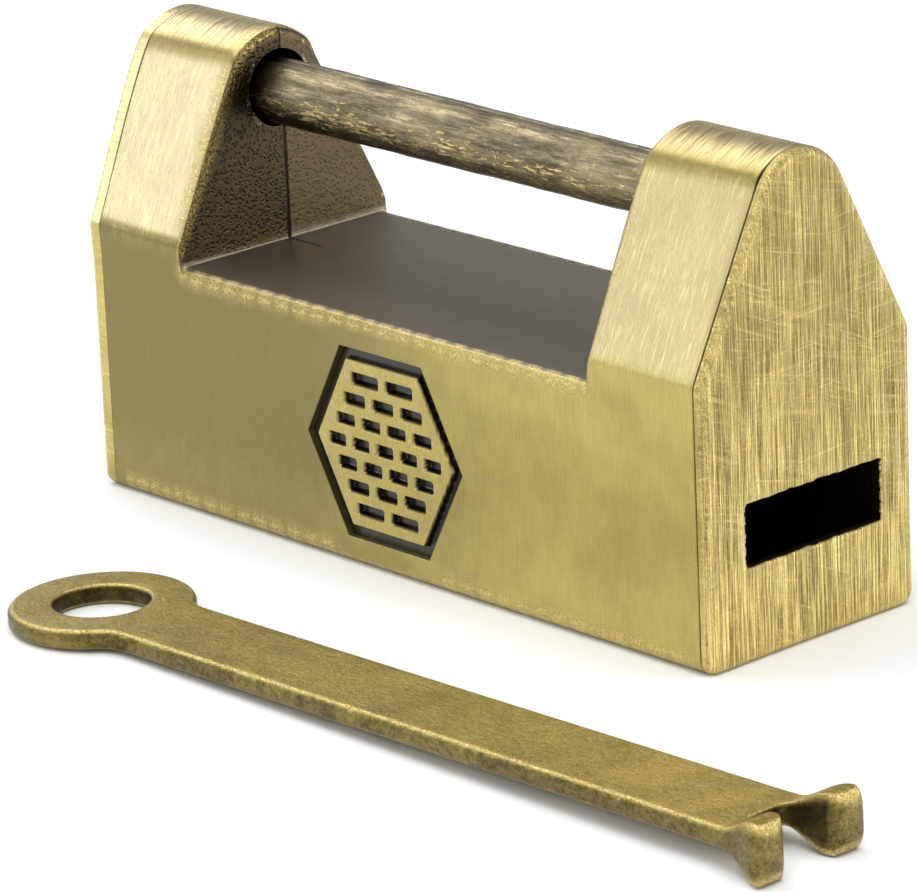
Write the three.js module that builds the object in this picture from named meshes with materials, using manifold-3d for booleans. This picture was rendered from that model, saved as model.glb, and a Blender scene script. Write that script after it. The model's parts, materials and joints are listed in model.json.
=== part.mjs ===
// A brass slide padlock of the old spring-barb kind, with its flat fork key lying in front of it.
// Millimetres, +Z up. The origin is on the lock's base, in the middle, +X runs to the keyhole end and
// -Y to the decorated front. The lock is shut: the shackle is pushed home and its barbs are sprung open.

import * as THREE from 'three';
import { mergeVertices, toCreasedNormals } from 'three/addons/utils/BufferGeometryUtils.js';
import Module from 'manifold-3d';

const wasm = await Module();
wasm.setup();

// ---------------------------------------------------------------- driving dimensions

// Lock outline, seen from the end: a gabled house with a round ridge.
const leftEndX = -25; // outer faces of the two end plates
const rightEndX = 25.4;
const bodyDepth = 15.94;
const shoulderHeight = 16.08;
const slopeAngle = THREE.MathUtils.degToRad(27.4); // from the vertical
const ridgeRadius = 3.35;
const footRound = 0.8;

// The notch between the two towers.
const deckHeight = 14.78;
const leftTowerWidth = 8.17;
const rightTowerWidth = 8.7;

// End plates and the small joint lines between pieces.
const keyPlateThickness = 0.6;
const slidePlateThickness = 0.9;
const jointLine = 0.1;
const partingY = 0.35; // the two half castings meet here

// Hollow for the mechanism, and the keyhole on its axis.
const mechanismY = 0.28;
const mechanismZ = 7.19;
const chamberWidth = 11.6;
const chamberHeight = 9.8;
const keyholeWidth = 10.4;
const keyholeHeight = 3.6;

// Shackle: round bar above, square stem with two barbs below.
const barRootRadius = 1.93;
const barTipRadius = 1.78;
const barRootX = -16.8;
const barTipX = 21.2;
const barRootZ = 23.8;
const barTipZ = 23.56;
const barHoleRadius = 2.3;
const barHoleY = 0.15;
const barHoleZ = 23.9;
const barSocketRadius = 2;
const barSocketEndX = 22;
const stemWidth = 2.6;
const stemHeight = 3;
const stemTipX = 14;
const tailRadius = 1.1; // both bars are riveted through the sliding plate with a thin tail
const tailClearance = 0.1;

// Leaf springs on the sides of the stem.
const leafThickness = 0.4;
const leafHeight = 2.7;
const leafRootX = 13.6;
const leafFlareX = 10.6;
const leafEndX = -6.3;
const leafSpread = 4.3; // free end's outer face, from the stem's axis
const leafGap = 0.08;
const leafRivetX = [13, 11.4];
const leafRivetRadius = 0.45;
const leafRivetHeadRadius = 0.8;
const leafRivetHeadThickness = 0.35;

// Catch plate that the barbs rest against.
const catchX = -8;
const catchThickness = 1.2;
const catchPassageWidth = 4.8;
const catchPassageHeight = 4.2;
const catchGroove = 0.9;
const grooveClearance = 0.1;

// Pins that locate the castings and the keyhole plate.
const dowelClearance = 0.05;
const dowels = [
  { name: 'dowel_left_tower', x: -20.3, z: 17.6, radius: 0.9 },
  { name: 'dowel_left_deck', x: -9, z: 13.45, radius: 0.6 },
  { name: 'dowel_right_deck', x: 9, z: 13.45, radius: 0.6 },
  { name: 'dowel_right_tower', x: 19.6, z: 18.6, radius: 0.9 },
];
const dowelHalfLength = 2.6;
const platePinY = { plate_pin_front: -4.2, plate_pin_back: 4.6 };
const platePinZ = 14.6;
const platePinRadius = 0.8;
const platePinStartX = 20.4;
const platePinEndX = 25.1;

// Hexagonal panel on the front: a plateau inside a sunk border, pierced by staggered rows of slots.
const panelX = 0.07;
const panelZ = 7.29;
const panelMidHalfWidth = 6.43;
const panelEndHalfWidth = 3.37;
const panelHalfHeight = 5.63;
const panelDepth = 0.5;
const plateauScale = 0.872; // plateau outline against the panel's outline
const plateauProud = 0.45;
const fieldScale = 0.748; // outline that the slots keep inside
const slotRowsEachSide = 3; // above and below the middle row
const slotsInMiddleRow = 5;
const slotHeight = 0.68;
const slotUpright = 0.62; // metal between two slots in a row

// Key: flat blade, finger ring, and two flared prongs with a notch between them.
const keyThickness = 1.15;
const keyRingRadius = 5.25;
const keyHoleRadius = 2.7;
const keyBladeWidth = 6;
const keyBladeLength = 51; // ring centre to the bottom of the notch
const keyNotchWidth = 3;
const keyProngLength = 3.5;
const keyProngSplay = 0.9; // how far a prong's outer face leans out past the blade
const keyProngHeight = 3.3;
const keyRingCentre = new THREE.Vector3(-6.5, -23.4, 0);

// ---------------------------------------------------------------- shape helpers

const creaseAngle = THREE.MathUtils.degToRad(30);
const alongX = new THREE.Matrix4().makeBasis(
  new THREE.Vector3(0, 1, 0),
  new THREE.Vector3(0, 0, 1),
  new THREE.Vector3(1, 0, 0),
);

// A closed three.js geometry as a solid that can be joined and cut.
function solidFrom(geometry) {
  const bare = geometry.clone();
  bare.deleteAttribute('normal');
  bare.deleteAttribute('uv');
  const merged = mergeVertices(bare, 1e-5);
  return new wasm.Manifold(new wasm.Mesh({
    numProp: 3,
    vertProperties: new Float32Array(merged.attributes.position.array),
    triVerts: new Uint32Array(merged.index.array),
  }));
}

// A joined or cut solid back as a three.js geometry, smooth only across shallow edges.
function geometryFrom(solid) {
  const mesh = solid.getMesh();
  const geometry = new THREE.BufferGeometry();
  geometry.setAttribute('position', new THREE.BufferAttribute(mesh.vertProperties, 3));
  geometry.setIndex(new THREE.BufferAttribute(mesh.triVerts, 1));
  return toCreasedNormals(geometry, creaseAngle);
}

// A box given by its lowest and highest corners.
function box(low, high) {
  const size = new THREE.Vector3().subVectors(high, low);
  const centre = new THREE.Vector3().addVectors(low, high).multiplyScalar(0.5);
  const geometry = new THREE.BoxGeometry(size.x, size.y, size.z);
  return geometry.translate(centre.x, centre.y, centre.z);
}

const point = (x, y, z) => new THREE.Vector3(x, y, z);

// A round bar or hole along X from x0 to x1, which may taper.
function rodX(radius0, radius1, x0, x1, y, z, segments = 28) {
  const geometry = new THREE.CylinderGeometry(radius1, radius0, x1 - x0, segments);
  geometry.rotateZ(-Math.PI / 2);
  return geometry.translate((x0 + x1) / 2, y, z);
}

// A round pin or hole along Y.
function rodY(radius, y0, y1, x, z, segments = 20) {
  const geometry = new THREE.CylinderGeometry(radius, radius, y1 - y0, segments);
  return geometry.translate(x, (y0 + y1) / 2, z);
}

// An outline in the Y-Z plane pushed along X from x0 to x1.
function extrudeAlongX(shape, x0, x1, curveSegments = 14) {
  const geometry = new THREE.ExtrudeGeometry(shape, {
    depth: x1 - x0,
    bevelEnabled: false,
    curveSegments,
  });
  return geometry.applyMatrix4(alongX).translate(x0, 0, 0);
}

// The lock's end outline: flat foot, upright sides, slopes, and a ridge arc tangent to both slopes.
function gableOutline() {
  const half = bodyDepth / 2;
  const ridgeZ = shoulderHeight
    + (half * Math.cos(slopeAngle) - ridgeRadius) / Math.sin(slopeAngle);
  const shape = new THREE.Shape();
  shape.moveTo(footRound - half, 0);
  shape.lineTo(half - footRound, 0);
  shape.absarc(half - footRound, footRound, footRound, -Math.PI / 2, 0);
  shape.lineTo(half, shoulderHeight);
  shape.absarc(0, ridgeZ, ridgeRadius, slopeAngle, Math.PI - slopeAngle);
  shape.lineTo(-half, shoulderHeight);
  shape.absarc(footRound - half, footRound, footRound, Math.PI, 1.5 * Math.PI);
  return shape;
}

// The panel's hexagon in the X-Z plane, pushed into the front face from y0 to y1.
function hexagonPrism(scale, y0, y1) {
  const corners = [
    [panelMidHalfWidth, 0],
    [panelEndHalfWidth, panelHalfHeight],
    [-panelEndHalfWidth, panelHalfHeight],
    [-panelMidHalfWidth, 0],
    [-panelEndHalfWidth, -panelHalfHeight],
    [panelEndHalfWidth, -panelHalfHeight],
  ];
  const shape = new THREE.Shape(corners.map(([x, z]) => new THREE.Vector2(x * scale, z * scale)));
  const geometry = new THREE.ExtrudeGeometry(shape, { depth: y1 - y0, bevelEnabled: false });
  geometry.rotateX(Math.PI / 2);
  return geometry.translate(panelX, y1, panelZ);
}

// ---------------------------------------------------------------- lock body

// The plateau with its slots. Each row away from the middle has one slot fewer, so the slots are
// staggered like bricks, and every row fills the width that the hexagon leaves it.
function plateau() {
  const back = -bodyDepth / 2 + panelDepth + 0.2;
  const front = back - 0.2 - plateauProud;
  const narrowing = (panelMidHalfWidth - panelEndHalfWidth) / panelHalfHeight;
  const rise = (2 * panelHalfHeight * fieldScale - slotHeight) / (2 * slotRowsEachSide);
  let solid = solidFrom(hexagonPrism(plateauScale, front, back));
  for (let row = -slotRowsEachSide; row <= slotRowsEachSide; row += 1) {
    const count = slotsInMiddleRow - Math.abs(row);
    const edge = Math.abs(row) * rise + slotHeight / 2;
    const reach = panelMidHalfWidth * fieldScale - narrowing * edge;
    const step = (2 * reach + slotUpright) / count;
    const z = panelZ + row * rise - slotHeight / 2;
    for (let slot = 0; slot < count; slot += 1) {
      const x = panelX - reach + slot * step;
      const low = point(x, front - 1, z);
      const high = point(x + step - slotUpright, back + 1, z + slotHeight);
      solid = solid.subtract(solidFrom(box(low, high)));
    }
  }
  return solid;
}

// Both half castings as one block: gable bar, notched between the towers, hollowed for the
// mechanism and bored for the shackle bar and the pins.
function castingBlock() {
  const left = leftEndX + slidePlateThickness + jointLine;
  const right = rightEndX - keyPlateThickness - jointLine;
  const wide = bodyDepth;
  const cuts = [
    box(
      point(leftEndX + leftTowerWidth, -wide, deckHeight),
      point(rightEndX - rightTowerWidth, wide, 2 * shoulderHeight),
    ),
    box(
      point(left - 1, mechanismY - chamberWidth / 2, mechanismZ - chamberHeight / 2),
      point(right + 1, mechanismY + chamberWidth / 2, mechanismZ + chamberHeight / 2),
    ),
    box(
      point(
        catchX - grooveClearance,
        mechanismY - chamberWidth / 2 - catchGroove,
        mechanismZ - chamberHeight / 2 - catchGroove,
      ),
      point(
        catchX + catchThickness + grooveClearance,
        mechanismY + chamberWidth / 2 + catchGroove,
        mechanismZ + chamberHeight / 2 + catchGroove,
      ),
    ),
    rodX(barHoleRadius, barHoleRadius, left - 1, barRootX + 1, barHoleY, barHoleZ),
    rodX(barSocketRadius, barSocketRadius, 16, barSocketEndX, 0, barTipZ),
    hexagonPrism(1, -wide, -bodyDepth / 2 + panelDepth),
  ];
  for (const dowel of dowels) {
    const radius = dowel.radius + dowelClearance;
    const reach = dowelHalfLength + dowelClearance;
    cuts.push(rodY(radius, partingY - reach, partingY + reach, dowel.x, dowel.z));
  }
  for (const y of Object.values(platePinY)) {
    const radius = platePinRadius + dowelClearance;
    cuts.push(rodX(radius, radius, platePinStartX - dowelClearance, right + 1, y, platePinZ, 16));
  }
  let block = solidFrom(extrudeAlongX(gableOutline(), left, right));
  for (const cut of cuts) {
    block = block.subtract(solidFrom(cut));
  }
  return block.add(plateau());
}

const block = castingBlock();

// The casting on one side of the parting plane; side is -1 for the front and 1 for the back.
function halfCasting(side) {
  const near = partingY + side * jointLine / 2;
  const far = side * bodyDepth;
  const keep = box(
    point(2 * leftEndX, Math.min(near, far), -1),
    point(2 * rightEndX, Math.max(near, far), 2 * shoulderHeight),
  );
  return geometryFrom(block.intersect(solidFrom(keep)));
}

function keyEndPlate() {
  const inner = rightEndX - keyPlateThickness;
  let plate = solidFrom(extrudeAlongX(gableOutline(), inner, rightEndX));
  plate = plate.subtract(solidFrom(box(
    point(inner - 1, mechanismY - keyholeWidth / 2, mechanismZ - keyholeHeight / 2),
    point(rightEndX + 1, mechanismY + keyholeWidth / 2, mechanismZ + keyholeHeight / 2),
  )));
  const radius = platePinRadius + dowelClearance;
  for (const y of Object.values(platePinY)) {
    const end = platePinEndX + dowelClearance;
    plate = plate.subtract(solidFrom(rodX(radius, radius, inner - 1, end, y, platePinZ, 16)));
  }
  return geometryFrom(plate);
}

function catchPlate() {
  const grip = catchGroove - grooveClearance;
  const plate = solidFrom(box(
    point(
      catchX,
      mechanismY - chamberWidth / 2 - grip,
      mechanismZ - chamberHeight / 2 - grip,
    ),
    point(
      catchX + catchThickness,
      mechanismY + chamberWidth / 2 + grip,
      mechanismZ + chamberHeight / 2 + grip,
    ),
  ));
  return geometryFrom(plate.subtract(solidFrom(box(
    point(catchX - 1, mechanismY - catchPassageWidth / 2, mechanismZ - catchPassageHeight / 2),
    point(
      catchX + catchThickness + 1,
      mechanismY + catchPassageWidth / 2,
      mechanismZ + catchPassageHeight / 2,
    ),
  ))));
}

// ---------------------------------------------------------------- shackle

function slidingEndPlate() {
  const outer = leftEndX;
  const inner = outer + slidePlateThickness;
  const hole = tailRadius + tailClearance;
  const plate = solidFrom(extrudeAlongX(gableOutline(), outer, inner));
  const barHole = rodX(hole, hole, outer - 1, inner + 1, 0, barRootZ, 20);
  const stemHole = rodX(hole, hole, outer - 1, inner + 1, mechanismY, mechanismZ, 20);
  return geometryFrom(plate.subtract(solidFrom(barHole)).subtract(solidFrom(stemHole)));
}

// The thin tail that is peened over in the sliding plate.
function tail(shoulderX, y, z) {
  return solidFrom(rodX(tailRadius, tailRadius, leftEndX, shoulderX + 0.5, y, z, 20));
}

function shackleBar() {
  const shoulder = leftEndX + slidePlateThickness + jointLine;
  const length = barTipX - barRootX;
  const taper = (barTipRadius - barRootRadius) / length;
  const fall = (barTipZ - barRootZ) / length;
  const geometry = rodX(barRootRadius, barTipRadius, barRootX, barTipX, 0, 0);
  geometry.applyMatrix4(new THREE.Matrix4().set(
    1, 0, 0, 0,
    0, 1, 0, 0,
    fall, 0, 1, barRootZ - fall * barRootX,
    0, 0, 0, 1,
  ));
  const rootRadius = barRootRadius + taper * 0.2;
  const root = rodX(rootRadius, rootRadius, shoulder, barRootX + 0.2, 0, barRootZ);
  return geometryFrom(solidFrom(geometry).add(solidFrom(root)).add(tail(shoulder, 0, barRootZ)));
}

function stem() {
  const shoulder = leftEndX + slidePlateThickness + jointLine;
  let bar = solidFrom(box(
    point(shoulder, mechanismY - stemWidth / 2, mechanismZ - stemHeight / 2),
    point(stemTipX, mechanismY + stemWidth / 2, mechanismZ + stemHeight / 2),
  ));
  const radius = leafRivetRadius + dowelClearance;
  for (const x of leafRivetX) {
    const hole = rodY(radius, mechanismY - stemWidth, mechanismY + stemWidth, x, mechanismZ, 16);
    bar = bar.subtract(solidFrom(hole));
  }
  return geometryFrom(bar.add(tail(shoulder, mechanismY, mechanismZ)));
}

// One barb: a flat root under the rivets, then a gentle curve outwards to the free end.
// side is -1 for the front leaf and 1 for the back one.
function leafSpring(side) {
  const rootFace = stemWidth / 2 + leafGap;
  const steps = 10;
  const inner = [new THREE.Vector2(leafRootX, rootFace)];
  for (let step = 0; step <= steps; step += 1) {
    const along = step / steps;
    const x = THREE.MathUtils.lerp(leafFlareX, leafEndX, along);
    const out = (leafSpread - leafThickness - rootFace) * along ** 1.25;
    inner.push(new THREE.Vector2(x, rootFace + out));
  }
  const outer = inner.map((p) => new THREE.Vector2(p.x, p.y + leafThickness)).reverse();
  const outline = [...inner, ...outer].map((p) => new THREE.Vector2(p.x, side * p.y));
  const geometry = new THREE.ExtrudeGeometry(new THREE.Shape(outline), {
    depth: leafHeight,
    bevelEnabled: false,
  });
  geometry.translate(0, mechanismY, mechanismZ - leafHeight / 2);
  let leaf = solidFrom(geometry);
  const radius = leafRivetRadius + dowelClearance;
  for (const x of leafRivetX) {
    const hole = rodY(radius, mechanismY - leafSpread, mechanismY + leafSpread, x, mechanismZ, 16);
    leaf = leaf.subtract(solidFrom(hole));
  }
  return geometryFrom(leaf);
}

// A rivet through leaf, stem and leaf, with a head at each end; its own axis is Y.
function leafRivet() {
  const reach = stemWidth / 2 + leafGap + leafThickness + leafGap;
  const end = reach + leafRivetHeadThickness;
  const profile = [
    [0, -end],
    [leafRivetHeadRadius * 0.75, -end],
    [leafRivetHeadRadius, -reach],
    [leafRivetRadius, -reach],
    [leafRivetRadius, reach],
    [leafRivetHeadRadius, reach],
    [leafRivetHeadRadius * 0.75, end],
    [0, end],
  ].map(([radius, y]) => new THREE.Vector2(radius, y));
  return new THREE.LatheGeometry(profile, 16);
}

// ---------------------------------------------------------------- key

// The key in its own frame: ring centre at the origin, blade along +X, mid-thickness at z = 0.
function keyGeometry() {
  const halfBlade = keyBladeWidth / 2;
  const halfNotch = keyNotchWidth / 2;
  const neck = Math.asin(halfBlade / keyRingRadius);
  const prongEnd = keyBladeLength + keyProngLength;
  const shape = new THREE.Shape();
  shape.absarc(0, 0, keyRingRadius, neck, 2 * Math.PI - neck);
  shape.lineTo(keyBladeLength - 1, -halfBlade);
  shape.lineTo(prongEnd, -halfBlade - keyProngSplay);
  shape.lineTo(prongEnd, -halfNotch);
  shape.lineTo(keyBladeLength, -halfNotch);
  shape.lineTo(keyBladeLength, halfNotch);
  shape.lineTo(prongEnd, halfNotch);
  shape.lineTo(prongEnd, halfBlade + keyProngSplay);
  shape.lineTo(keyBladeLength - 1, halfBlade);
  const ringHole = new THREE.Path();
  ringHole.absarc(0, 0, keyHoleRadius, 0, 2 * Math.PI, true);
  shape.holes.push(ringHole);
  const flat = new THREE.ExtrudeGeometry(shape, {
    depth: keyProngHeight,
    bevelEnabled: false,
    curveSegments: 24,
  }).translate(0, 0, -keyProngHeight / 2);

  // Seen from the side the blade is thin and the prongs fan out up and down.
  const half = keyThickness / 2;
  const flare = keyProngHeight / 2;
  const side = new THREE.Shape([
    new THREE.Vector2(-keyRingRadius - 1, -half),
    new THREE.Vector2(keyBladeLength - 0.4, -half),
    new THREE.Vector2(prongEnd - 0.7, -flare),
    new THREE.Vector2(prongEnd - 0.2, -flare),
    new THREE.Vector2(prongEnd, -flare * 0.7),
    new THREE.Vector2(prongEnd, flare * 0.7),
    new THREE.Vector2(prongEnd - 0.2, flare),
    new THREE.Vector2(prongEnd - 0.7, flare),
    new THREE.Vector2(keyBladeLength - 0.4, half),
    new THREE.Vector2(-keyRingRadius - 1, half),
  ]);
  const sideways = new THREE.ExtrudeGeometry(side, {
    depth: 4 * keyRingRadius,
    bevelEnabled: false,
  });
  sideways.rotateX(Math.PI / 2).translate(0, 2 * keyRingRadius, 0);
  return geometryFrom(solidFrom(flat).intersect(solidFrom(sideways)));
}

// ---------------------------------------------------------------- scene graph

const brass = (color, roughness) => new THREE.MeshStandardMaterial({
  color,
  roughness,
  metalness: 1,
});
const castBrass = brass(0xa99a55, 0.42);
const brushedBrass = brass(0xb3a05a, 0.38);
const darkBrass = brass(0x5f5330, 0.5);
const keyBrass = brass(0x8d7c42, 0.45);
const springBrass = brass(0xc09a4a, 0.35);
const pinSteel = brass(0x8a8a88, 0.4);

const group = new THREE.Group();
const lockBody = new THREE.Group();
const shackle = new THREE.Group();
const looseKey = new THREE.Group();
group.add(lockBody, shackle, looseKey);

function addMesh(parent, name, geometry, material, position = point(0, 0, 0)) {
  const mesh = new THREE.Mesh(geometry, material);
  mesh.name = name;
  mesh.position.copy(position);
  parent.add(mesh);
  return mesh;
}

addMesh(lockBody, 'front_casting', halfCasting(-1), castBrass);
addMesh(lockBody, 'back_casting', halfCasting(1), castBrass);
addMesh(lockBody, 'keyhole_plate', keyEndPlate(), brushedBrass);
addMesh(lockBody, 'catch_plate', catchPlate(), springBrass);
for (const { name, x, z, radius } of dowels) {
  const pin = rodY(radius, -dowelHalfLength, dowelHalfLength, 0, 0);
  addMesh(lockBody, name, pin, pinSteel, point(x, partingY, z));
}
for (const [name, y] of Object.entries(platePinY)) {
  const pin = rodX(platePinRadius, platePinRadius, platePinStartX, platePinEndX, 0, 0, 16);
  addMesh(lockBody, name, pin, pinSteel, point(0, y, platePinZ));
}

addMesh(shackle, 'sliding_end_plate', slidingEndPlate(), brushedBrass);
addMesh(shackle, 'shackle_bar', shackleBar(), darkBrass);
addMesh(shackle, 'stem', stem(), darkBrass);
addMesh(shackle, 'leaf_spring_front', leafSpring(-1), springBrass);
addMesh(shackle, 'leaf_spring_back', leafSpring(1), springBrass);
leafRivetX.forEach((x, index) => {
  const place = point(x, mechanismY, mechanismZ);
  addMesh(shackle, `leaf_rivet_${index + 1}`, leafRivet(), springBrass, place);
});

// The key rests on the edge of its ring and on the lower tips of its prongs, so it tips up a little.
const keySpan = keyBladeLength + keyProngLength;
const keyPitch = Math.asin((keyProngHeight - keyThickness) / 2 / keySpan);
const keyRestZ = keyThickness / 2 + keyRingRadius * Math.sin(keyPitch);
looseKey.position.set(keyRingCentre.x, keyRingCentre.y, keyRestZ);
looseKey.rotation.y = -keyPitch;
addMesh(looseKey, 'key', keyGeometry(), keyBrass);

export default group;
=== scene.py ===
# %% [markdown]
# # A brass slide padlock and its key
#
# The lock is a gabled brass box with a tower at each end and a round bar across the gap.
# The bar, the left end plate and the bolt inside are one sliding unit. This lesson loads the
# measured frame, replaces each plain solid with a finely made surface, and then gives the
# brass its look: blackened all over, then brushed back to bright metal where a hand can reach.

# %% Load the frame
import json
import math

import bmesh
import bpy
import numpy as np
from mathutils import Matrix, Vector
from mathutils.geometry import delaunay_2d_cdt

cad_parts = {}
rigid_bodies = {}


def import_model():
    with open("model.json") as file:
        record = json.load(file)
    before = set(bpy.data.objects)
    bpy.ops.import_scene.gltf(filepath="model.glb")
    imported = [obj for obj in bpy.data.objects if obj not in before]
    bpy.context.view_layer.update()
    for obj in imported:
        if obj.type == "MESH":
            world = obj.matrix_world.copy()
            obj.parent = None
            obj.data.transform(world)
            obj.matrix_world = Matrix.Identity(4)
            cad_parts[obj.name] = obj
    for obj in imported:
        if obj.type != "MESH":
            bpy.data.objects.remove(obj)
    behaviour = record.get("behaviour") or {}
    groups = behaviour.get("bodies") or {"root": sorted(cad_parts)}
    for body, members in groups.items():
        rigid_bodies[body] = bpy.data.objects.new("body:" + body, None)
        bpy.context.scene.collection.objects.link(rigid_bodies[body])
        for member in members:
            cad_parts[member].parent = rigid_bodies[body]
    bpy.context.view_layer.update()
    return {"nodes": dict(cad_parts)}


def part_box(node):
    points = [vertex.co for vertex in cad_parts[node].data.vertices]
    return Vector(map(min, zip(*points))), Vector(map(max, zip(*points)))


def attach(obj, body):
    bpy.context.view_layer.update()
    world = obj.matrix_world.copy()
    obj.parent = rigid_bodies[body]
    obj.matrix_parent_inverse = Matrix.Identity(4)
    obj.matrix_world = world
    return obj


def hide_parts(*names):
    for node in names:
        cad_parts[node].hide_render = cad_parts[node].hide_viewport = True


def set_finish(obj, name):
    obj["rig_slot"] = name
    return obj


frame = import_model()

MM = 0.001
print("pieces:", sorted(frame["nodes"]))

# %% [markdown]
# ## Working in millimetres
#
# All shapes are worked out in millimetres as whole numpy arrays and are scaled to metres when
# they become a mesh. Sizes that the frame already knows are read from it, so that a piece can't
# drift away from the solid it stands for. The few outline sizes that a box can't tell are named here.


# %% Sizes
def low_high(node):
    """Lowest and highest corner of a frame node, in millimetres."""
    low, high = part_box(node)
    return np.array(low) / MM, np.array(high) / MM


casting_low, casting_high = low_high("front_casting")
back_low, _ = low_high("back_casting")
key_plate_low, key_plate_high = low_high("keyhole_plate")
slide_plate_low, slide_plate_high = low_high("sliding_end_plate")

HALF_DEPTH = -casting_low[1]
PARTING_Y = (casting_high[1] + back_low[1]) / 2
SHOULDER_Z = 16.08
SLOPE = math.radians(27.4)
RIDGE_RADIUS = 3.35
RIDGE_Z = key_plate_high[2] - RIDGE_RADIUS
FOOT_ROUND = 0.8
SHOULDER_ROUND = 1.1
DECK_Z = 14.78
LEFT_FACE_X = slide_plate_low[0] + 8.17
RIGHT_FACE_X = key_plate_high[0] - 8.7
MECHANISM = np.array([0.28, 7.19])
print("lock: %.1f x %.1f x %.1f mm" % tuple((key_plate_high - slide_plate_low)[[0, 1, 2]]))


# %% [markdown]
# ## Turning arrays into meshes
#
# Nearly every piece is a grid of points: one parameter runs round a section, the other runs
# along the piece. A grid that wraps is a tube, and flat caps close it. One helper makes the
# faces for any such grid, and a second one measures how sharply the finished surface bends at
# each vertex. Sharp outer edges get the attribute `wear`, inner corners get a darkening that is
# partly dirt and partly painted shade, and the brass uses both.


# %% Mesh helpers
def grid_faces(rows, columns, wrap_rows=False, wrap_columns=False):
    """Quads of a rows x columns grid of vertices; a wrapped direction joins its end to its start."""
    index = np.arange(rows * columns).reshape(rows, columns)
    if wrap_rows:
        index = np.vstack([index, index[:1]])
    if wrap_columns:
        index = np.hstack([index, index[:, :1]])
    corners = [index[:-1, :-1], index[1:, :-1], index[1:, 1:], index[:-1, 1:]]
    return np.stack(corners, axis=-1).reshape(-1, 4)


def put_mesh(name, points, faces):
    """A new object from points in millimetres and a list of faces, its normals turned outwards."""
    mesh = bpy.data.meshes.new(name)
    mesh.from_pydata((np.asarray(points) * MM).tolist(), [], [list(map(int, f)) for f in faces])
    made = bmesh.new()
    made.from_mesh(mesh)
    bmesh.ops.remove_doubles(made, verts=made.verts, dist=1e-7)
    bmesh.ops.recalc_face_normals(made, faces=made.faces)
    made.to_mesh(mesh)
    made.free()
    piece = bpy.data.objects.new(name, mesh)
    bpy.context.scene.collection.objects.link(piece)
    return piece


def tube(name, points, wrap_rows=False, caps=True):
    """A closed surface from points[row, column, xyz]: each row is a closed ring, and flat caps
    close the first and last ring unless the rows wrap round as well."""
    rows, columns = points.shape[:2]
    faces = grid_faces(rows, columns, wrap_rows, True).tolist()
    if caps and not wrap_rows:
        faces.append(list(range(columns))[::-1])
        faces.append(list(range((rows - 1) * columns, rows * columns)))
    return put_mesh(name, points.reshape(-1, 3), faces)


def edge_arrays(mesh):
    """Vertex places in millimetres, vertex normals, and the two ends of every edge."""
    count = len(mesh.vertices)
    places = np.empty(count * 3)
    mesh.vertices.foreach_get("co", places)
    normals = np.empty(count * 3)
    mesh.vertex_normals.foreach_get("vector", normals)
    ends = np.empty(len(mesh.edges) * 2, dtype=np.int32)
    mesh.edges.foreach_get("vertices", ends)
    return places.reshape(-1, 3) / MM, normals.reshape(-1, 3), ends.reshape(-1, 2)


def spread(values, ends, rounds):
    """Average each vertex with its neighbours, a number of times."""
    count = len(values)
    a, b = ends.T
    degree = np.bincount(a, minlength=count) + np.bincount(b, minlength=count)
    for _ in range(rounds):
        total = np.bincount(a, values[b], count) + np.bincount(b, values[a], count)
        values = 0.5 * values + 0.5 * total / np.maximum(degree, 1)
    return values


def nearest(places, targets, chunk=4000):
    """Distance from each place to the nearest target. Targets are thinned to one in each half
    millimetre cell first, and the places are taken in chunks to keep the arrays small."""
    if len(targets) == 0:
        return np.full(len(places), 99.0)
    cells = np.unique(np.round(targets / 0.5).astype(int), axis=0, return_index=True)[1]
    targets = targets[cells].astype(np.float32)
    square = (targets**2).sum(1)
    found = []
    for start in range(0, len(places), chunk):
        part = places[start:start + chunk].astype(np.float32)
        gap = (part**2).sum(1)[:, None] + square - 2 * part @ targets.T
        found.append(np.sqrt(np.maximum(gap.min(1), 0)))
    return np.concatenate(found)


def mark(mesh, name, values):
    """Store one number per vertex under a name that a material can read."""
    attribute = mesh.attributes.get(name) or mesh.attributes.new(name, "FLOAT", "POINT")
    attribute.data.foreach_set("value", np.clip(values, 0, 1).astype(np.float32))


def read_mark(mesh, name):
    """The numbers stored under a name, one per vertex."""
    values = np.empty(len(mesh.vertices), dtype=np.float32)
    mesh.attributes[name].data.foreach_get("value", values)
    return values


def weather(piece, sharp=0.7, reach=1.3):
    """Bend at a vertex is the change of normal along each edge, divided by the edge's length.
    Positive bends are outer edges and become wear; negative ones are corners and become dirt and painted
    shade.
    Both fade with the distance from the nearest such vertex."""
    mesh = piece.data
    places, normals, ends = edge_arrays(mesh)
    a, b = ends.T
    along = places[b] - places[a]
    length = np.maximum((along**2).sum(1), 1e-6)
    bend = ((normals[b] - normals[a]) * along).sum(1) / length
    highest = np.zeros(len(places))
    lowest = np.zeros(len(places))
    np.maximum.at(highest, a, bend)
    np.maximum.at(highest, b, bend)
    np.minimum.at(lowest, a, bend)
    np.minimum.at(lowest, b, bend)
    mark(mesh, "wear", 1 - nearest(places, places[highest > sharp]) / reach)
    # Dirt and painted shade: inner corners are marked for darkening.
    mark(mesh, "grime_and_shade", 1 - nearest(places, places[lowest < -sharp]) / reach)


def finish_piece(piece, body, slot, nodes=(), smooth_angle=38, weathered=True):
    """Shade smooth but keep true edges sharp, add the attributes, and hand the piece to its body."""
    mesh = piece.data
    mesh.shade_smooth()
    mesh.set_sharp_from_angle(angle=math.radians(smooth_angle))
    if weathered:
        weather(piece)
    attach(piece, body)
    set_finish(piece, slot)
    if nodes:
        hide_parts(*nodes)
    print(f"{piece.name}: {len(mesh.vertices)} vertices, {len(mesh.polygons)} faces")
    return piece


# %% [markdown]
# ## Outlines
#
# The lock seen from the end is a house: flat foot, upright sides, slopes and a round ridge that
# touches both slopes. The outline is built for one side of the middle plane as straight runs and
# arcs, then mirrored, so that front and back are true images of each other.


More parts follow.
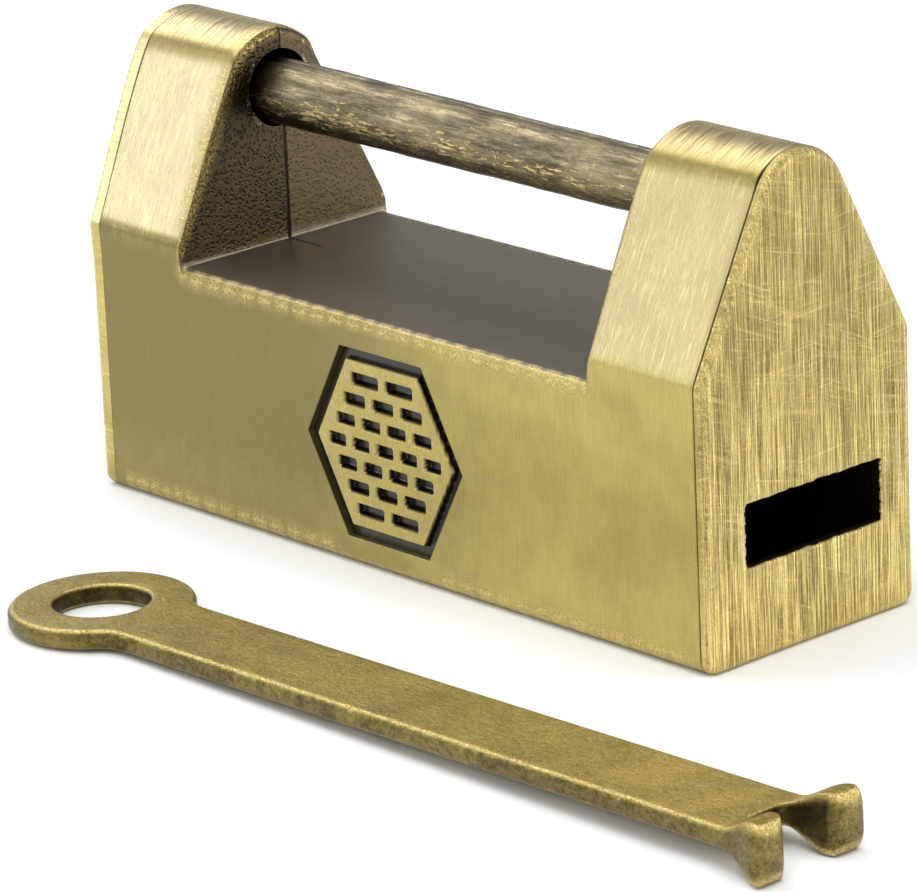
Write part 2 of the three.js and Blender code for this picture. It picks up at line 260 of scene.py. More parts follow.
# %% Outline helpers
def arc(centre, radius, start, end, count):
    """Points at equal angles on a circle, start and end in degrees."""
    angle = np.radians(np.linspace(start, end, count))
    return np.array(centre) + radius * np.stack([np.cos(angle), np.sin(angle)], axis=1)


def run(start, end, count):
    """Points at equal steps on a straight line, without the end point."""
    share = np.linspace(0, 1, count, endpoint=False)[:, None]
    return np.array(start) * (1 - share) + np.array(end) * share


def rounded_box(half_width, half_height, radius, count=6, side=6):
    """A rectangle with round corners about the origin, anticlockwise."""
    x = half_width - radius
    y = half_height - radius
    pieces = []
    for turn, (cx, cy) in enumerate([(x, y), (-x, y), (-x, -y), (x, -y)]):
        corner = arc((cx, cy), radius, 90 * turn, 90 * turn + 90, count)
        nxt = [(-x, y), (-x, -y), (x, -y), (x, y)][turn]
        start = arc(nxt, radius, 90 * turn + 90, 90 * turn + 90, 1)[0]
        pieces += [corner[:-1], run(corner[-1], start, side)]
    return np.vstack(pieces)


def even(outline, spacing):
    """An outline redrawn with points an even distance apart."""
    step = np.linalg.norm(np.roll(outline, -1, axis=0) - outline, axis=1)
    distance = np.concatenate([[0], np.cumsum(step)])
    closed = np.vstack([outline, outline[:1]])
    at = np.linspace(0, distance[-1], int(distance[-1] / spacing), endpoint=False)
    return np.stack([np.interp(at, distance, closed[:, i]) for i in (0, 1)], axis=1)


def smooth_step(value, low, high):
    """0 below low, 1 above high, and a smooth rise between them."""
    share = np.clip((value - low) / (high - low), 0, 1)
    return share * share * (3 - 2 * share)


def half_gable(split_z):
    """One side of the house outline as (distance from the middle plane, height), in two stretches:
    from the middle of the foot up to split_z, and from there over the shoulder to the ridge."""
    h = HALF_DEPTH
    low = np.vstack([
        run((0, 0), (h - FOOT_ROUND, 0), 14),
        arc((h - FOOT_ROUND, FOOT_ROUND), FOOT_ROUND, -90, 0, 9)[:-1],
        run((h, FOOT_ROUND), (h, split_z), 30),
    ])
    reach = SHOULDER_ROUND * math.tan(SLOPE / 2)
    touch = (RIDGE_RADIUS * math.cos(SLOPE), RIDGE_Z + RIDGE_RADIUS * math.sin(SLOPE))
    shoulder = arc((h - SHOULDER_ROUND, SHOULDER_Z - reach), SHOULDER_ROUND,
                   0, math.degrees(SLOPE), 9)
    high = np.vstack([
        run((h, split_z), (h, SHOULDER_Z - reach), 5),
        shoulder[:-1],
        run(shoulder[-1], touch, 26),
        arc((0, RIDGE_Z), RIDGE_RADIUS, math.degrees(SLOPE), 90, 20),
    ])
    return low, high


def mirrored(half):
    """A closed outline (y, z) from one side's outline, which starts and ends on the middle plane:
    up the front side, where y is negative, and down the back side."""
    front = half * [-1, 1]
    back = half[::-1][1:-1]
    return np.vstack([front, back])


# %% [markdown]
# ## The casting
#
# Along its length the body changes between two outlines: the full house in the towers, and a low
# box under the bar. Every point of the house has a partner on the low box straight below it. A
# tower's inner face is the walk from one to the other at one place along the length, so the whole
# skin is a single grid. The walk starts with a small outer round and ends with a tighter inner
# one, and both fade away where the two outlines run together on the front wall.


# %% Casting skin
FULLNESS_X = [-25, -16.8, 16.7, 24.9]
FULLNESS = [0.8, 0.3, 0.45, 0.0]
FULL_FROM, FULL_TO, EASE_FROM, EASE_TO = 13.5, 25, 25.3, 27.5
BEAD_Z, BEAD_HIGH, BEAD_WIDE = 26.3, 0.12, 0.45
EDGE_ROUND = 0.55
DECK_EDGE_ROUND = 0.5
INNER_CORNER = 0.1
LEFT_END_ROUND, RIGHT_END_ROUND = 0.02, 0.2


def low_box(high, split_z):
    """Partner points on the low box for the upper stretch of the house outline: the part above the
    split becomes the round edge of the deck, and slope and ridge drop straight onto the deck."""
    h = HALF_DEPTH
    on_slope = high[:, 0] < h - 0.05
    first = int(np.argmax(on_slope))
    edge = arc((h - DECK_EDGE_ROUND, split_z), DECK_EDGE_ROUND, 0, 90, first + 1)
    flat_y = high[first + 1:, 0] / high[first, 0] * (h - DECK_EDGE_ROUND)
    flat = np.stack([flat_y, np.full(len(flat_y), DECK_Z)], axis=1)
    return np.vstack([edge, flat])


def outward(loop):
    """Unit normals of a closed (y, z) outline that runs clockwise as mirrored() gives it."""
    ahead = np.roll(loop, -1, axis=0) - np.roll(loop, 1, axis=0)
    normal = np.stack([-ahead[:, 1], ahead[:, 0]], axis=1)
    normal /= np.linalg.norm(normal, axis=1, keepdims=True)
    centre = loop.mean(0)
    if ((loop - centre) * normal).sum() < 0:
        normal = -normal
    return normal


def fuller(outline, x):
    """The hand-filed front slope stands a little proud of the true outline, more at some places
    along the lock than at others. The outline moves along its own normal by that fullness times a
    weight that rises from the shoulder to the ridge, and a small bead marks where the ridge begins."""
    y, z = outline.T
    rising = smooth_step(z, FULL_FROM, FULL_TO) * (1 - 0.65 * smooth_step(z, EASE_FROM, EASE_TO))
    weight = rising * np.clip((1.5 - y) / 3, 0, 1)
    bead = BEAD_HIGH * np.exp(-(((z - BEAD_Z) / BEAD_WIDE) ** 2))
    amount = np.interp(x, FULLNESS_X, FULLNESS)
    return outline + outward(outline) * (amount * weight + bead)[:, None]


def casting_skin(left_x, right_x):
    """Points[row, column] of the skin. Column: place on the outline. Row: step along a walk that
    keeps to the house outline in a tower, drops to the low box at the tower's inner face, and
    follows it to the other tower. A row's place is x plus a drop along the line to its partner."""
    split_z = DECK_Z - DECK_EDGE_ROUND
    low, high = half_gable(split_z)
    house = mirrored(np.vstack([low, high]))
    deck = mirrored(np.vstack([low, low_box(high, split_z)]))
    drop = deck - house
    depth = np.linalg.norm(drop, axis=1)
    direction = drop / np.maximum(depth, 1e-9)[:, None]
    outer = np.minimum(EDGE_ROUND, 0.45 * depth)
    inner = np.minimum(INNER_CORNER, 0.45 * depth)

    quarter = np.radians(np.linspace(0, 90, 8))
    wall = np.linspace(0, 1, 34)[1:-1]

    def step(face_x, away):
        """Rows from a tower (on the side that away points from) down its inner face to the deck."""
        xs, drops = [], []
        for q in quarter:
            xs.append(face_x - away * outer * (1 - math.sin(q)))
            drops.append(outer * (1 - math.cos(q)))
        for share in wall:
            xs.append(np.full_like(depth, face_x))
            drops.append(outer + share * (depth - outer - inner))
        for q in quarter:
            xs.append(face_x + away * inner * (1 - math.cos(q)))
            drops.append(depth - inner + inner * math.sin(q))
        return xs, drops

    def plain(start, end, count, dropped):
        """Rows that follow one outline from start to end."""
        places = np.linspace(start, end, count)
        full = depth if dropped else np.zeros_like(depth)
        return [np.full_like(depth, x) for x in places], [full] * count

    left_step = step(LEFT_FACE_X, 1)
    right_step = step(RIGHT_FACE_X, -1)
    stretches = [
        plain(left_x + LEFT_END_ROUND, LEFT_FACE_X - EDGE_ROUND - 0.1, 20, False),
        left_step,
        plain(LEFT_FACE_X + INNER_CORNER + 0.1, RIGHT_FACE_X - INNER_CORNER - 0.1, 90, True),
        (right_step[0][::-1], right_step[1][::-1]),
        plain(RIGHT_FACE_X + EDGE_ROUND + 0.1, right_x - RIGHT_END_ROUND, 20, False),
    ]
    x = np.array([row for xs, _ in stretches for row in xs])
    fall = np.array([row for _, drops in stretches for row in drops])
    still_house = 1 - fall / np.maximum(depth, 1e-9)
    extra = np.array([fuller(house, row.mean()) - house for row in x])
    section = house + direction * fall[..., None] + extra * still_house[..., None]
    skin = np.concatenate([x[..., None], section], axis=2)

    def rounded_end(end_x, sign, radius):
        """Rows that turn the outline in by a quarter round towards the end face."""
        turn = quarter[1:]
        inset = radius * (1 - np.cos(turn))
        place = end_x - sign * radius * (1 - np.sin(turn))
        outline = fuller(house, end_x)
        ring = outline - outward(outline) * inset[:, None, None]
        along = np.broadcast_to(place[:, None, None], ring.shape[:2] + (1,))
        return np.concatenate([along, ring], axis=2)

    left_end = rounded_end(left_x, -1, LEFT_END_ROUND)[::-1]
    return np.concatenate([left_end, skin, rounded_end(right_x, 1, RIGHT_END_ROUND)])


skin = casting_skin(casting_low[0], casting_high[0])
print("casting skin:", skin.shape[0], "rows of", skin.shape[1], "points")

# %% [markdown]
# ## Hollowing and splitting the casting
#
# The body is hollow for the bolt, bored for the bar, and pocketed for the panel on the front.
# These cuts cross the skin's grid, so booleans do them: each cutter is itself a small swept
# outline. The body is then cut in two along the parting plane, the way it was cast.


# %% Cutters and booleans
def prism_x(name, outline, x0, x1):
    """A (y, z) outline pushed along X."""
    rings = [np.insert(outline, 0, x, axis=1) for x in (x0, x1)]
    return tube(name, np.array(rings))


def prism_y(name, outlines, places):
    """(x, z) outlines at given places along Y, joined in order: a cutter may widen as it goes."""
    rings = [np.insert(outline, 1, y, axis=1) for outline, y in zip(outlines, places)]
    return tube(name, np.array(rings))


def circle(radius, centre=(0, 0), count=64):
    """A closed circle."""
    return arc(centre, radius, 0, 360, count + 1)[:-1]


def boolean(piece, tools, operation="DIFFERENCE"):
    """Apply one boolean after another to the piece, and remove the tools."""
    for tool in tools:
        modifier = piece.modifiers.new("boolean", "BOOLEAN")
        modifier.object = tool
        modifier.operation = operation
        modifier.solver = "EXACT"
    depsgraph = bpy.context.evaluated_depsgraph_get()
    mesh = bpy.data.meshes.new_from_object(piece.evaluated_get(depsgraph))
    piece.modifiers.clear()
    piece.data = mesh
    for tool in tools:
        bpy.data.objects.remove(tool)
    return piece


chamber = rounded_box(5.8, 4.9, 0.5) + MECHANISM
BAR_HOLE = np.array([0.15, 23.9])
BAR_HOLE_RADIUS = 2.3
SOCKET_RADIUS = 2.0
BAR_TIP_Z = 23.56
PANEL = np.array([0.07, 7.29])
PANEL_HALF = {"middle": 6.43, "end": 3.37, "height": 5.63}
POCKET_DEPTH = 0.62


def hexagon(grow=0.0, along=12):
    """The panel's outline (x, z), every side moved out by about the same distance."""
    m = PANEL_HALF["middle"] + grow * 1.14
    e = PANEL_HALF["end"] + grow * 0.72
    t = PANEL_HALF["height"] + grow
    corners = np.array([(m, 0), (e, t), (-e, t), (-m, 0), (-e, -t), (e, -t)])
    sides = [run(a, b, along) for a, b in zip(corners, np.roll(corners, -1, axis=0))]
    return np.vstack(sides) + PANEL


def seam_wedge(name, face_x, away):
    """A thin V cut along the parting line: down a tower's inner face, then a short way along the
    deck, where it tapers out."""
    width, depth, run_out = 0.06, 0.16, 3.6
    top = DECK_Z + 9.5
    path = np.array([
        [face_x + away * 0.02, top], [face_x + away * 0.02, DECK_Z + 0.02],
        [face_x + away * run_out, DECK_Z + 0.02],
    ])
    inner = np.array([
        [face_x - away * depth, top], [face_x - away * depth, DECK_Z - depth],
        [face_x + away * run_out, DECK_Z - 0.01],
    ])
    sides = np.array([width, width, 0.01])
    rows = []
    for (px, pz), (ix, iz), w in zip(path, inner, sides):
        rows.append([(px, PARTING_Y - w, pz), (px, PARTING_Y + w, pz), (ix, PARTING_Y, iz)])
    return tube(name, np.array(rows))


body = tube("whole_casting", skin)
cutters = [
    prism_x("cut_chamber", chamber, casting_low[0] - 1, casting_high[0] + 1),
    prism_x("cut_groove", rounded_box(6.7, 5.8, 0.3) + MECHANISM, -8.1, -6.7),
    prism_x("cut_bar_hole", circle(BAR_HOLE_RADIUS) + BAR_HOLE, casting_low[0] - 1, LEFT_FACE_X + 1),
    prism_x("cut_bar_socket", circle(SOCKET_RADIUS) + [0, BAR_TIP_Z], RIGHT_FACE_X - 0.7, 22),
    prism_y("cut_panel", [hexagon(0.3), hexagon(0.0), hexagon(0.0)],
            [-HALF_DEPTH - 0.25, -HALF_DEPTH + 0.04, -HALF_DEPTH + POCKET_DEPTH]),
    seam_wedge("cut_seam_left", LEFT_FACE_X, 1),
    seam_wedge("cut_seam_right", RIGHT_FACE_X, -1),
]
boolean(body, cutters)
print("hollow casting:", len(body.data.vertices), "vertices")


def half_of(whole, name, sign):
    """The part of the casting on one side of the parting plane; sign is -1 for the front."""
    half = whole.copy()
    half.data = whole.data.copy()
    half.name = name
    bpy.context.scene.collection.objects.link(half)
    low, high = sorted([PARTING_Y, sign * 30])
    corners = np.array([(low, -5), (high, -5), (high, 40), (low, 40)])
    return boolean(half, [prism_x("keep_half", corners, -40, 40)], "INTERSECT")


front = half_of(body, "front_casting_brass", -1)
back = half_of(body, "back_casting_brass", 1)
bpy.data.objects.remove(body)

# %% [markdown]
# ## What was done to the castings, and where light and shade are painted
#
# The front was brushed and the slopes got a polish, while the deck, the towers' inner faces and
# the panel's pocket kept their cast skin. Each of these is marked by place, and so is painted
# light and shade: a paler sheen on the slopes, a darker band where the front slope meets the ridge,
# and shade along the front. Wear and the darkening of corners, which is partly dirt and partly
# painted shade, are first measured from the shape, and then corrected where the shape alone misleads.


# %% Marks of the castings
def regions(x, y, z):
    """Where the parts of the casting lie: the space between the towers, the panel's pocket, and
    the hollow, which is the chamber, the bar's hole and its socket."""
    between = (x > LEFT_FACE_X - 0.12) & (x < RIGHT_FACE_X + 0.12) & (z > DECK_Z - 0.12)
    pocket = (y > -HALF_DEPTH + 0.1) & (y < -HALF_DEPTH + 1)
    pocket &= (np.abs(x) < 8) & (z > 1) & (z < 13.5)
    cy, cz = MECHANISM
    chamber = (np.abs(y - cy) < 6.9) & (np.abs(z - cz) < 6) & (y > -HALF_DEPTH + 1.1)
    from_hole = np.hypot(y - BAR_HOLE[0], z - BAR_HOLE[1]) - BAR_HOLE_RADIUS
    hole = (from_hole < 0.02) & (x < LEFT_FACE_X - 0.1)
    from_socket = np.hypot(y, z - BAR_TIP_Z) - SOCKET_RADIUS
    socket = (from_socket < 0.02) & (x > RIGHT_FACE_X + 0.1) & (x < 22.5)
    return between, pocket, chamber | hole | socket


def gable_gap(y, z):
    """Distance in from the front slope or, above the place where it starts, from the ridge."""
    slope = (y + HALF_DEPTH) * math.cos(SLOPE) - (z - SHOULDER_Z) * math.sin(SLOPE)
    crown = RIDGE_RADIUS - np.hypot(y, z - RIDGE_Z)
    return np.where(z > RIDGE_Z + RIDGE_RADIUS * math.sin(SLOPE), crown, slope)


def panel_size(x, z):
    """1 on the panel's outline, less inside it and more outside."""
    m, e, t = PANEL_HALF["middle"], PANEL_HALF["end"], PANEL_HALF["height"]
    tall = np.abs(z - PANEL[1]) / t
    return np.maximum(tall, (np.abs(x - PANEL[0]) + (m - e) * tall) / m)


def mark_finish(piece):
    """Mark what was done to each part of the surface, and where light and shade are painted, from
    its place alone. unbrushed is the deck, the towers' inner faces and the panel's pocket, which
    the brush never reached. pitted is the rough cast skin of the inner faces, full on the front
    half and less on the back, and tarred is its rough strip beside the slope. The slopes and
    ridges got a polish and also a paler painted sheen, ridge is the top only, and a band of
    painted shade lies where the front slope meets the ridge. Painted shade also darkens the front
    towards the left end, a little less near the foot."""
    places, _, ends = edge_arrays(piece.data)
    x, y, z = places.T
    between, pocket, _ = regions(x, y, z)
    mark(piece.data, "unbrushed", spread((between | pocket).astype(float), ends, 1))
    wall = between & (z > DECK_Z + 0.3)
    mark(piece.data, "pitted", spread(wall * np.where(y < PARTING_Y, 1.0, 0.3), ends, 3))
    strip = between * (z > DECK_Z + 0.2) * (y < PARTING_Y)
    mark(piece.data, "tarred", strip * (1 - smooth_step(gable_gap(y, z), 0.1, 0.75)))
    # Polish and a painted sheen: the slopes are marked for a paler tone.
    sloped = smooth_step(z, SHOULDER_Z - 0.1, SHOULDER_Z + 0.5) * ~between
    mark(piece.data, "polish_and_sheen", sloped * (1 - 0.4 * smooth_step(x, 15, 18)))
    mark(piece.data, "ridge", smooth_step(z, 26.0, 27.5) * ~between)
    # Painted shade: a darker band where the front slope meets the ridge.
    beside = np.exp(-(((z - BEAD_Z) / 0.5) ** 4)) * (y < 0) * ~between
    mark(piece.data, "crease_shade", beside)
    # Painted shade: the front darkens towards the left end, a little less near the foot.
    upright_front = smooth_step(-y, HALF_DEPTH - 0.25, HALF_DEPTH - 0.1)
    low_down = 0.7 + 0.3 * smooth_step(z, 1.5, 7)
    mark(piece.data, "painted_shade", upright_front * (1 - smooth_step(x, -12, 18)) * low_down)


def mark_age(piece):
    """Correct the measured wear and the corner darkening, which is partly dirt and partly painted
    shade. The hollow is painted fully dark as shade, the parting line is not a worn edge, and the
    end plates and the panel shelter the edges beside them."""
    x, y, z = edge_arrays(piece.data)[0].T
    between, pocket, hollow = regions(x, y, z)
    from_parting = np.abs(y - PARTING_Y)
    wear = read_mark(piece.data, "wear")
    wear[(from_parting < 1.6) & between] = 0
    wear[hollow] = 0
    wear *= smooth_step(x, casting_low[0] + 0.3, casting_low[0] + 1.2)
    wear *= 1 - 0.5 * smooth_step(x, casting_high[0] - 1.2, casting_high[0] - 0.3)
    wear *= 1 - 0.8 * (y < 0) * (1 - smooth_step(panel_size(x, z), 1.1, 1.25))
    towers = (x < LEFT_FACE_X - 0.3) | (x > RIGHT_FACE_X + 0.3)
    shoulder = towers * np.exp(-(((z - SHOULDER_Z) / 1.2) ** 2))
    wear *= 1 - 0.45 * shoulder - 0.7 * read_mark(piece.data, "crease_shade")
    mark(piece.data, "wear", wear)

    grime_and_shade = read_mark(piece.data, "grime_and_shade")
    grime_and_shade[between] *= 0.25
    grime_and_shade[(y < -HALF_DEPTH + 0.3) & ~pocket] *= 0.4
    grime_and_shade[(y < -HALF_DEPTH + 0.08) & (z < DECK_Z - 1)] = 0
    # Painted shade: the chamber, the bar's hole and its socket are fully dark.
    grime_and_shade[hollow] = 1
    seam = (from_parting < 0.06) & (z > DECK_Z - 0.3) & (np.abs(x - LEFT_FACE_X - 1.35) < 1.65)
    grime_and_shade[seam] = 1
    mark(piece.data, "grime_and_shade", grime_and_shade)


for half, nodes in ((front, ["front_casting"]), (back, ["back_casting"])):
    finish_piece(half, "lock_body", "cast_brass", nodes)
    mark_finish(half)
    mark_age(half)

# %% [markdown]
# ## The panel on the front
#
# The panel is a hexagon whose border is a deep dark groove. Inside it stands a plateau with rows
# of short slots, staggered like bricks. It is a height field: each point of the hexagon gets the
# smallest of its distances to the border and to the slots, and a steep but soft wall turns that
# distance into a depth.


# %% Panel relief
PANEL_FLOOR = 0.5
PLATEAU, FIELD = 0.872, 0.748
SLOT_HIGH, UPRIGHT = 0.68, 0.62
SLOT_ROWS, MIDDLE_SLOTS = 3, 5


def panel_height(x, z):
    """Height above the floor, 0 to 1. First the distance inside the plateau's sloping and level
    sides, then for each row of slots the distance outside its nearest slot."""
    m, e, t = PANEL_HALF["middle"], PANEL_HALF["end"], PANEL_HALF["height"]
    lean = np.array([t, m - e]) / math.hypot(t, m - e)
    side = (PLATEAU * m - np.abs(x)) * lean[0] - np.abs(z) * lean[1]
    metal = np.minimum(side, PLATEAU * t - np.abs(z))
    climb = (2 * t * FIELD - SLOT_HIGH) / (2 * SLOT_ROWS)
    for row in range(-SLOT_ROWS, SLOT_ROWS + 1):
        count = MIDDLE_SLOTS - abs(row)
        reach = m * FIELD - (m - e) / t * (abs(row) * climb + SLOT_HIGH / 2)
        pitch = (2 * reach + UPRIGHT) / count
        middle = -reach + (pitch - UPRIGHT) / 2 + pitch * np.clip(
            np.round((x + reach - (pitch - UPRIGHT) / 2) / pitch), 0, count - 1)
        gap_x = np.abs(x - middle) - (pitch - UPRIGHT) / 2
        gap_z = np.abs(z - row * climb) - SLOT_HIGH / 2
        outside = np.hypot(np.maximum(gap_x + 0.12, 0), np.maximum(gap_z + 0.12, 0)) - 0.12
        metal = np.minimum(metal, np.maximum(outside, np.minimum(np.maximum(gap_x, gap_z), 0)))
    return smooth_step(metal, -0.1, 0.05)


def panel_relief():
    """Grid over the hexagon: one parameter is height, the other runs across at that height. The
    front row of points carries the relief; side walls and a flat back close the slab."""
    v = np.linspace(-1, 1, 200)
    u = np.linspace(-1, 1, 230)
    z = v[:, None] * PANEL_HALF["height"] * np.ones_like(u)
    wide = PANEL_HALF["middle"] + (PANEL_HALF["end"] - PANEL_HALF["middle"]) * np.abs(v)[:, None]
    x = u * wide
    tall = panel_height(x, z)
    y = -HALF_DEPTH + PANEL_FLOOR - tall * (PANEL_FLOOR - 0.03)
    front_points = np.stack([x + PANEL[0], y, z + PANEL[1]], axis=-1)
    back_points = front_points.copy()
    back_points[..., 1] = -HALF_DEPTH + POCKET_DEPTH + 0.02
    rows, columns = x.shape
    count = rows * columns
    grid = grid_faces(rows, columns)
    index = np.arange(count).reshape(rows, columns)
    rim = np.concatenate([index[0], index[1:, -1], index[-1, -2::-1], index[-2:0:-1, 0]])
    after = np.roll(rim, -1)
    walls = np.stack([rim, after, after + count, rim + count], axis=1)
    faces = grid.tolist() + walls.tolist() + [(rim + count).tolist()]
    points = np.concatenate([front_points.reshape(-1, 3), back_points.reshape(-1, 3)])
    used = np.concatenate([np.arange(count), rim + count])
    renumber = np.full(2 * count, -1)
    renumber[used] = np.arange(len(used))
    faces = [[int(renumber[i]) for i in face] for face in faces]
    piece = put_mesh("panel_relief", points[used], faces)
    places, _, ends = edge_arrays(piece.data)
    depth = (places[:, 1] + HALF_DEPTH) / PANEL_FLOOR
    mark(piece.data, "unbrushed", smooth_step(depth, 0.15, 0.5))
    mark(piece.data, "glossy", smooth_step(depth, 0.15, 0.5))
    return piece


relief = panel_relief()
finish_piece(relief, "lock_body", "cast_brass")
on_top = 1 - read_mark(relief.data, "unbrushed")
mark(relief.data, "wear", np.maximum(0.6 * read_mark(relief.data, "wear"), 0.62 * on_top))
mark(relief.data, "grime_and_shade", 0 * read_mark(relief.data, "grime_and_shade"))

# %% [markdown]
# ## End plates
#
# Both end plates are the house outline with thickness. The keyhole plate is a ring: each line
# from the keyhole's edge runs out to the outline, over the rounded edge, and back behind, so one
# grid that wraps both ways makes the whole plate. The keyhole was filed by hand, so its edge wanders
# a little. The sliding plate is the same surface with its hole shrunk to nothing.


# %% Plate surface
# Millimetres between points on a plate's outlines.
FINE = 0.04


def by_angle(outline, centre, angles):
    """The outline as distances from a centre, read off at the given angles."""
    offset = outline - centre
    angle = np.arctan2(offset[:, 1], offset[:, 0])
    order = np.argsort(angle)
    radius = np.hypot(*offset.T)[order]
    return np.interp(angles, angle[order], radius, period=2 * math.pi)


def plate(name, outline, hole, centre, x_back, x_front, front_round, back_round, hole_round=0.12):
    """A flat piece between two closed outlines. For each angle the walk goes from the hole's front
    edge across the face, round the outer edges and back. Front is the side that shows. A walk's
    step is a distance from the centre and a place along X: a round edge of radius r at turn q
    lies r (1 - sin q) in from the outline and r (1 - cos q) behind the face."""
    sign = 1 if x_front > x_back else -1
    fine = np.linspace(-math.pi, math.pi, 420, endpoint=False)
    corner = np.concatenate([loop_corners(outline, centre), loop_corners(hole, centre)])
    angles = np.unique(np.concatenate([fine, corner]))
    away = np.stack([np.cos(angles), np.sin(angles)], axis=1)
    outer = by_angle(even(outline, FINE), centre, angles)
    inner = np.full_like(outer, 1e-4) if hole is None else by_angle(even(hole, FINE), centre, angles)
    quarter = np.radians(np.linspace(0, 90, 7))
    walk = []
    for q in quarter[::-1]:
        behind = sign * hole_round * (1 - math.sin(q))
        walk.append((inner + hole_round * (1 - np.cos(q)), x_front - behind))
    walk = [(inner, x_front - sign * (hole_round + 0.02))] + walk[::-1]
    for share in (0.06, 0.15, 0.3, 0.45, 0.6, 0.75, 0.85, 0.93):
        walk.append((inner + hole_round + share * (outer - front_round - inner - hole_round), x_front))
    for q in quarter:
        behind = sign * front_round * (1 - math.cos(q))
        walk.append((outer - front_round * (1 - math.sin(q)), x_front - behind))
    for q in quarter[::-1]:
        ahead = sign * back_round * (1 - math.cos(q))
        walk.append((outer - back_round * (1 - math.sin(q)), x_back + ahead))
    for share in (0.8, 0.4):
        walk.append((inner + share * (outer - back_round - inner), x_back))
    walk.append((inner, x_back))
    rows = []
    for radius, x in walk:
        yz = centre + away * radius[:, None]
        rows.append(np.insert(yz, 0, x, axis=1))
    return tube(name, np.array(rows), wrap_rows=True)


def loop_corners(outline, centre):
    """Angles at which the outline turns, so that the grid has a line there."""
    if outline is None:
        return np.array([])
    offset = outline - centre
    return np.arctan2(offset[:, 1], offset[:, 0])


low, high = half_gable(DECK_Z)
house = mirrored(np.vstack([low, high]))
slide_house = fuller(house, slide_plate_low[0])
keyhole = rounded_box(5.2, 1.8, 0.22, side=40) + MECHANISM
turn = np.linspace(0, 2 * math.pi, len(keyhole), endpoint=False)
filed = 0.035 * np.sin(17 * turn + 1) + 0.03 * np.sin(41 * turn) + 0.02 * np.sin(67 * turn + 2)
keyhole = keyhole + (keyhole - MECHANISM) * (filed / np.hypot(*(keyhole - MECHANISM).T))[:, None]

key_plate = plate("keyhole_plate_brushed", house, keyhole, MECHANISM,
                  key_plate_low[0], key_plate_high[0], 0.45, 0.06)
finish_piece(key_plate, "lock_body", "brushed_brass", ["keyhole_plate"])
key_plate_x, _, key_plate_z = edge_arrays(key_plate.data)[0].T
mark(key_plate.data, "grime_and_shade", np.zeros(len(key_plate_x)))
mark(key_plate.data, "edge_band", 0.8 * smooth_step(key_plate_high[0] - key_plate_x, 0.1, 0.4))
# Painted shade: the keyhole plate darkens towards the top.
mark(key_plate.data, "painted_shade", smooth_step(key_plate_z, 3, 20))


def shade_where(piece, chosen):
    """Darken fully with painted shade, and set wear to nothing, where the places pass a test or by a
    given amount.
    """
    places, _, _ = edge_arrays(piece.data)
    amount = np.clip(chosen(*places.T).astype(float), 0, 1)
    mark(piece.data, "grime_and_shade", np.maximum(read_mark(piece.data, "grime_and_shade"), amount))
    mark(piece.data, "wear", read_mark(piece.data, "wear") * (1 - amount))


# Painted shade inside the keyhole and on the plate's back face.
shade_where(key_plate, lambda x, y, z: (x < key_plate_high[0] - 0.13)
            & (np.abs(y - MECHANISM[0]) < 5.5) & (np.abs(z - MECHANISM[1]) < 2.1))
shade_where(key_plate, lambda x, y, z: x < key_plate_low[0] + 0.04)

slide_plate = plate("sliding_plate_brushed", slide_house, None, np.array([0.0, 10.0]),
                    slide_plate_high[0] + 0.06, slide_plate_low[0], 0.3, 0.05)
finish_piece(slide_plate, "shackle", "brushed_brass", ["sliding_end_plate"])
slide_x, _, slide_z = edge_arrays(slide_plate.data)[0].T
from_face = slide_x - slide_plate_low[0]
slide_wear = read_mark(slide_plate.data, "wear") * (1 - smooth_step(from_face, 0.3, 0.8))
mark(slide_plate.data, "wear", slide_wear)
mark(slide_plate.data, "grime_and_shade", np.zeros(len(slide_x)))
mark(slide_plate.data, "edge_band", smooth_step(from_face, 0.05, 0.3))
# Polish and a painted sheen: the sliding plate's band is paler above the shoulder.
mark(slide_plate.data, "polish_and_sheen", smooth_step(slide_z, SHOULDER_Z - 0.1, SHOULDER_Z + 0.5))

# %% [markdown]
# ## The bar and the bolt
#
# The bar is turned: a radius for each place along its axis, with a slow wobble added, because it
# was cast and only roughly cleaned. Its thin tail goes through the sliding plate and is hammered
# flush. The stem below starts as the same round tail and then becomes square.


# %% Turned and swept pieces
def turned(name, along, radius, axis_z, around=96, wobble=0.0, y=0.0):
    """A body of revolution along X: radius at each place along the axis, which may tilt in z.
    The wobble adds slow ripples to the radius that differ round the bar, and the fine raised line
    that the joint of the mould left along the top."""
    turn = np.linspace(0, 2 * math.pi, around, endpoint=False)
    x = np.asarray(along)[:, None]
    r = np.asarray(radius)[:, None] * np.ones(around)
    ripple = (np.sin(0.55 * x + 2 * turn) + 0.7 * np.sin(1.3 * x - 3 * turn + 1)
              + 0.5 * np.sin(2.3 * x + turn + 2) + 0.3 * np.sin(4.1 * x + 5 * turn))
    flash = 0.06 * np.exp(-((np.degrees(turn) - 90) / 3.0) ** 2)
    r = r + (wobble * ripple + (flash if wobble else 0)) * smooth_step(r, 1.2, 1.5)
    points = np.stack([
        x * np.ones(around),
        y + r * np.cos(turn),
        np.asarray(axis_z)[:, None] + r * np.sin(turn),
    ], axis=-1)
    return tube(name, points)


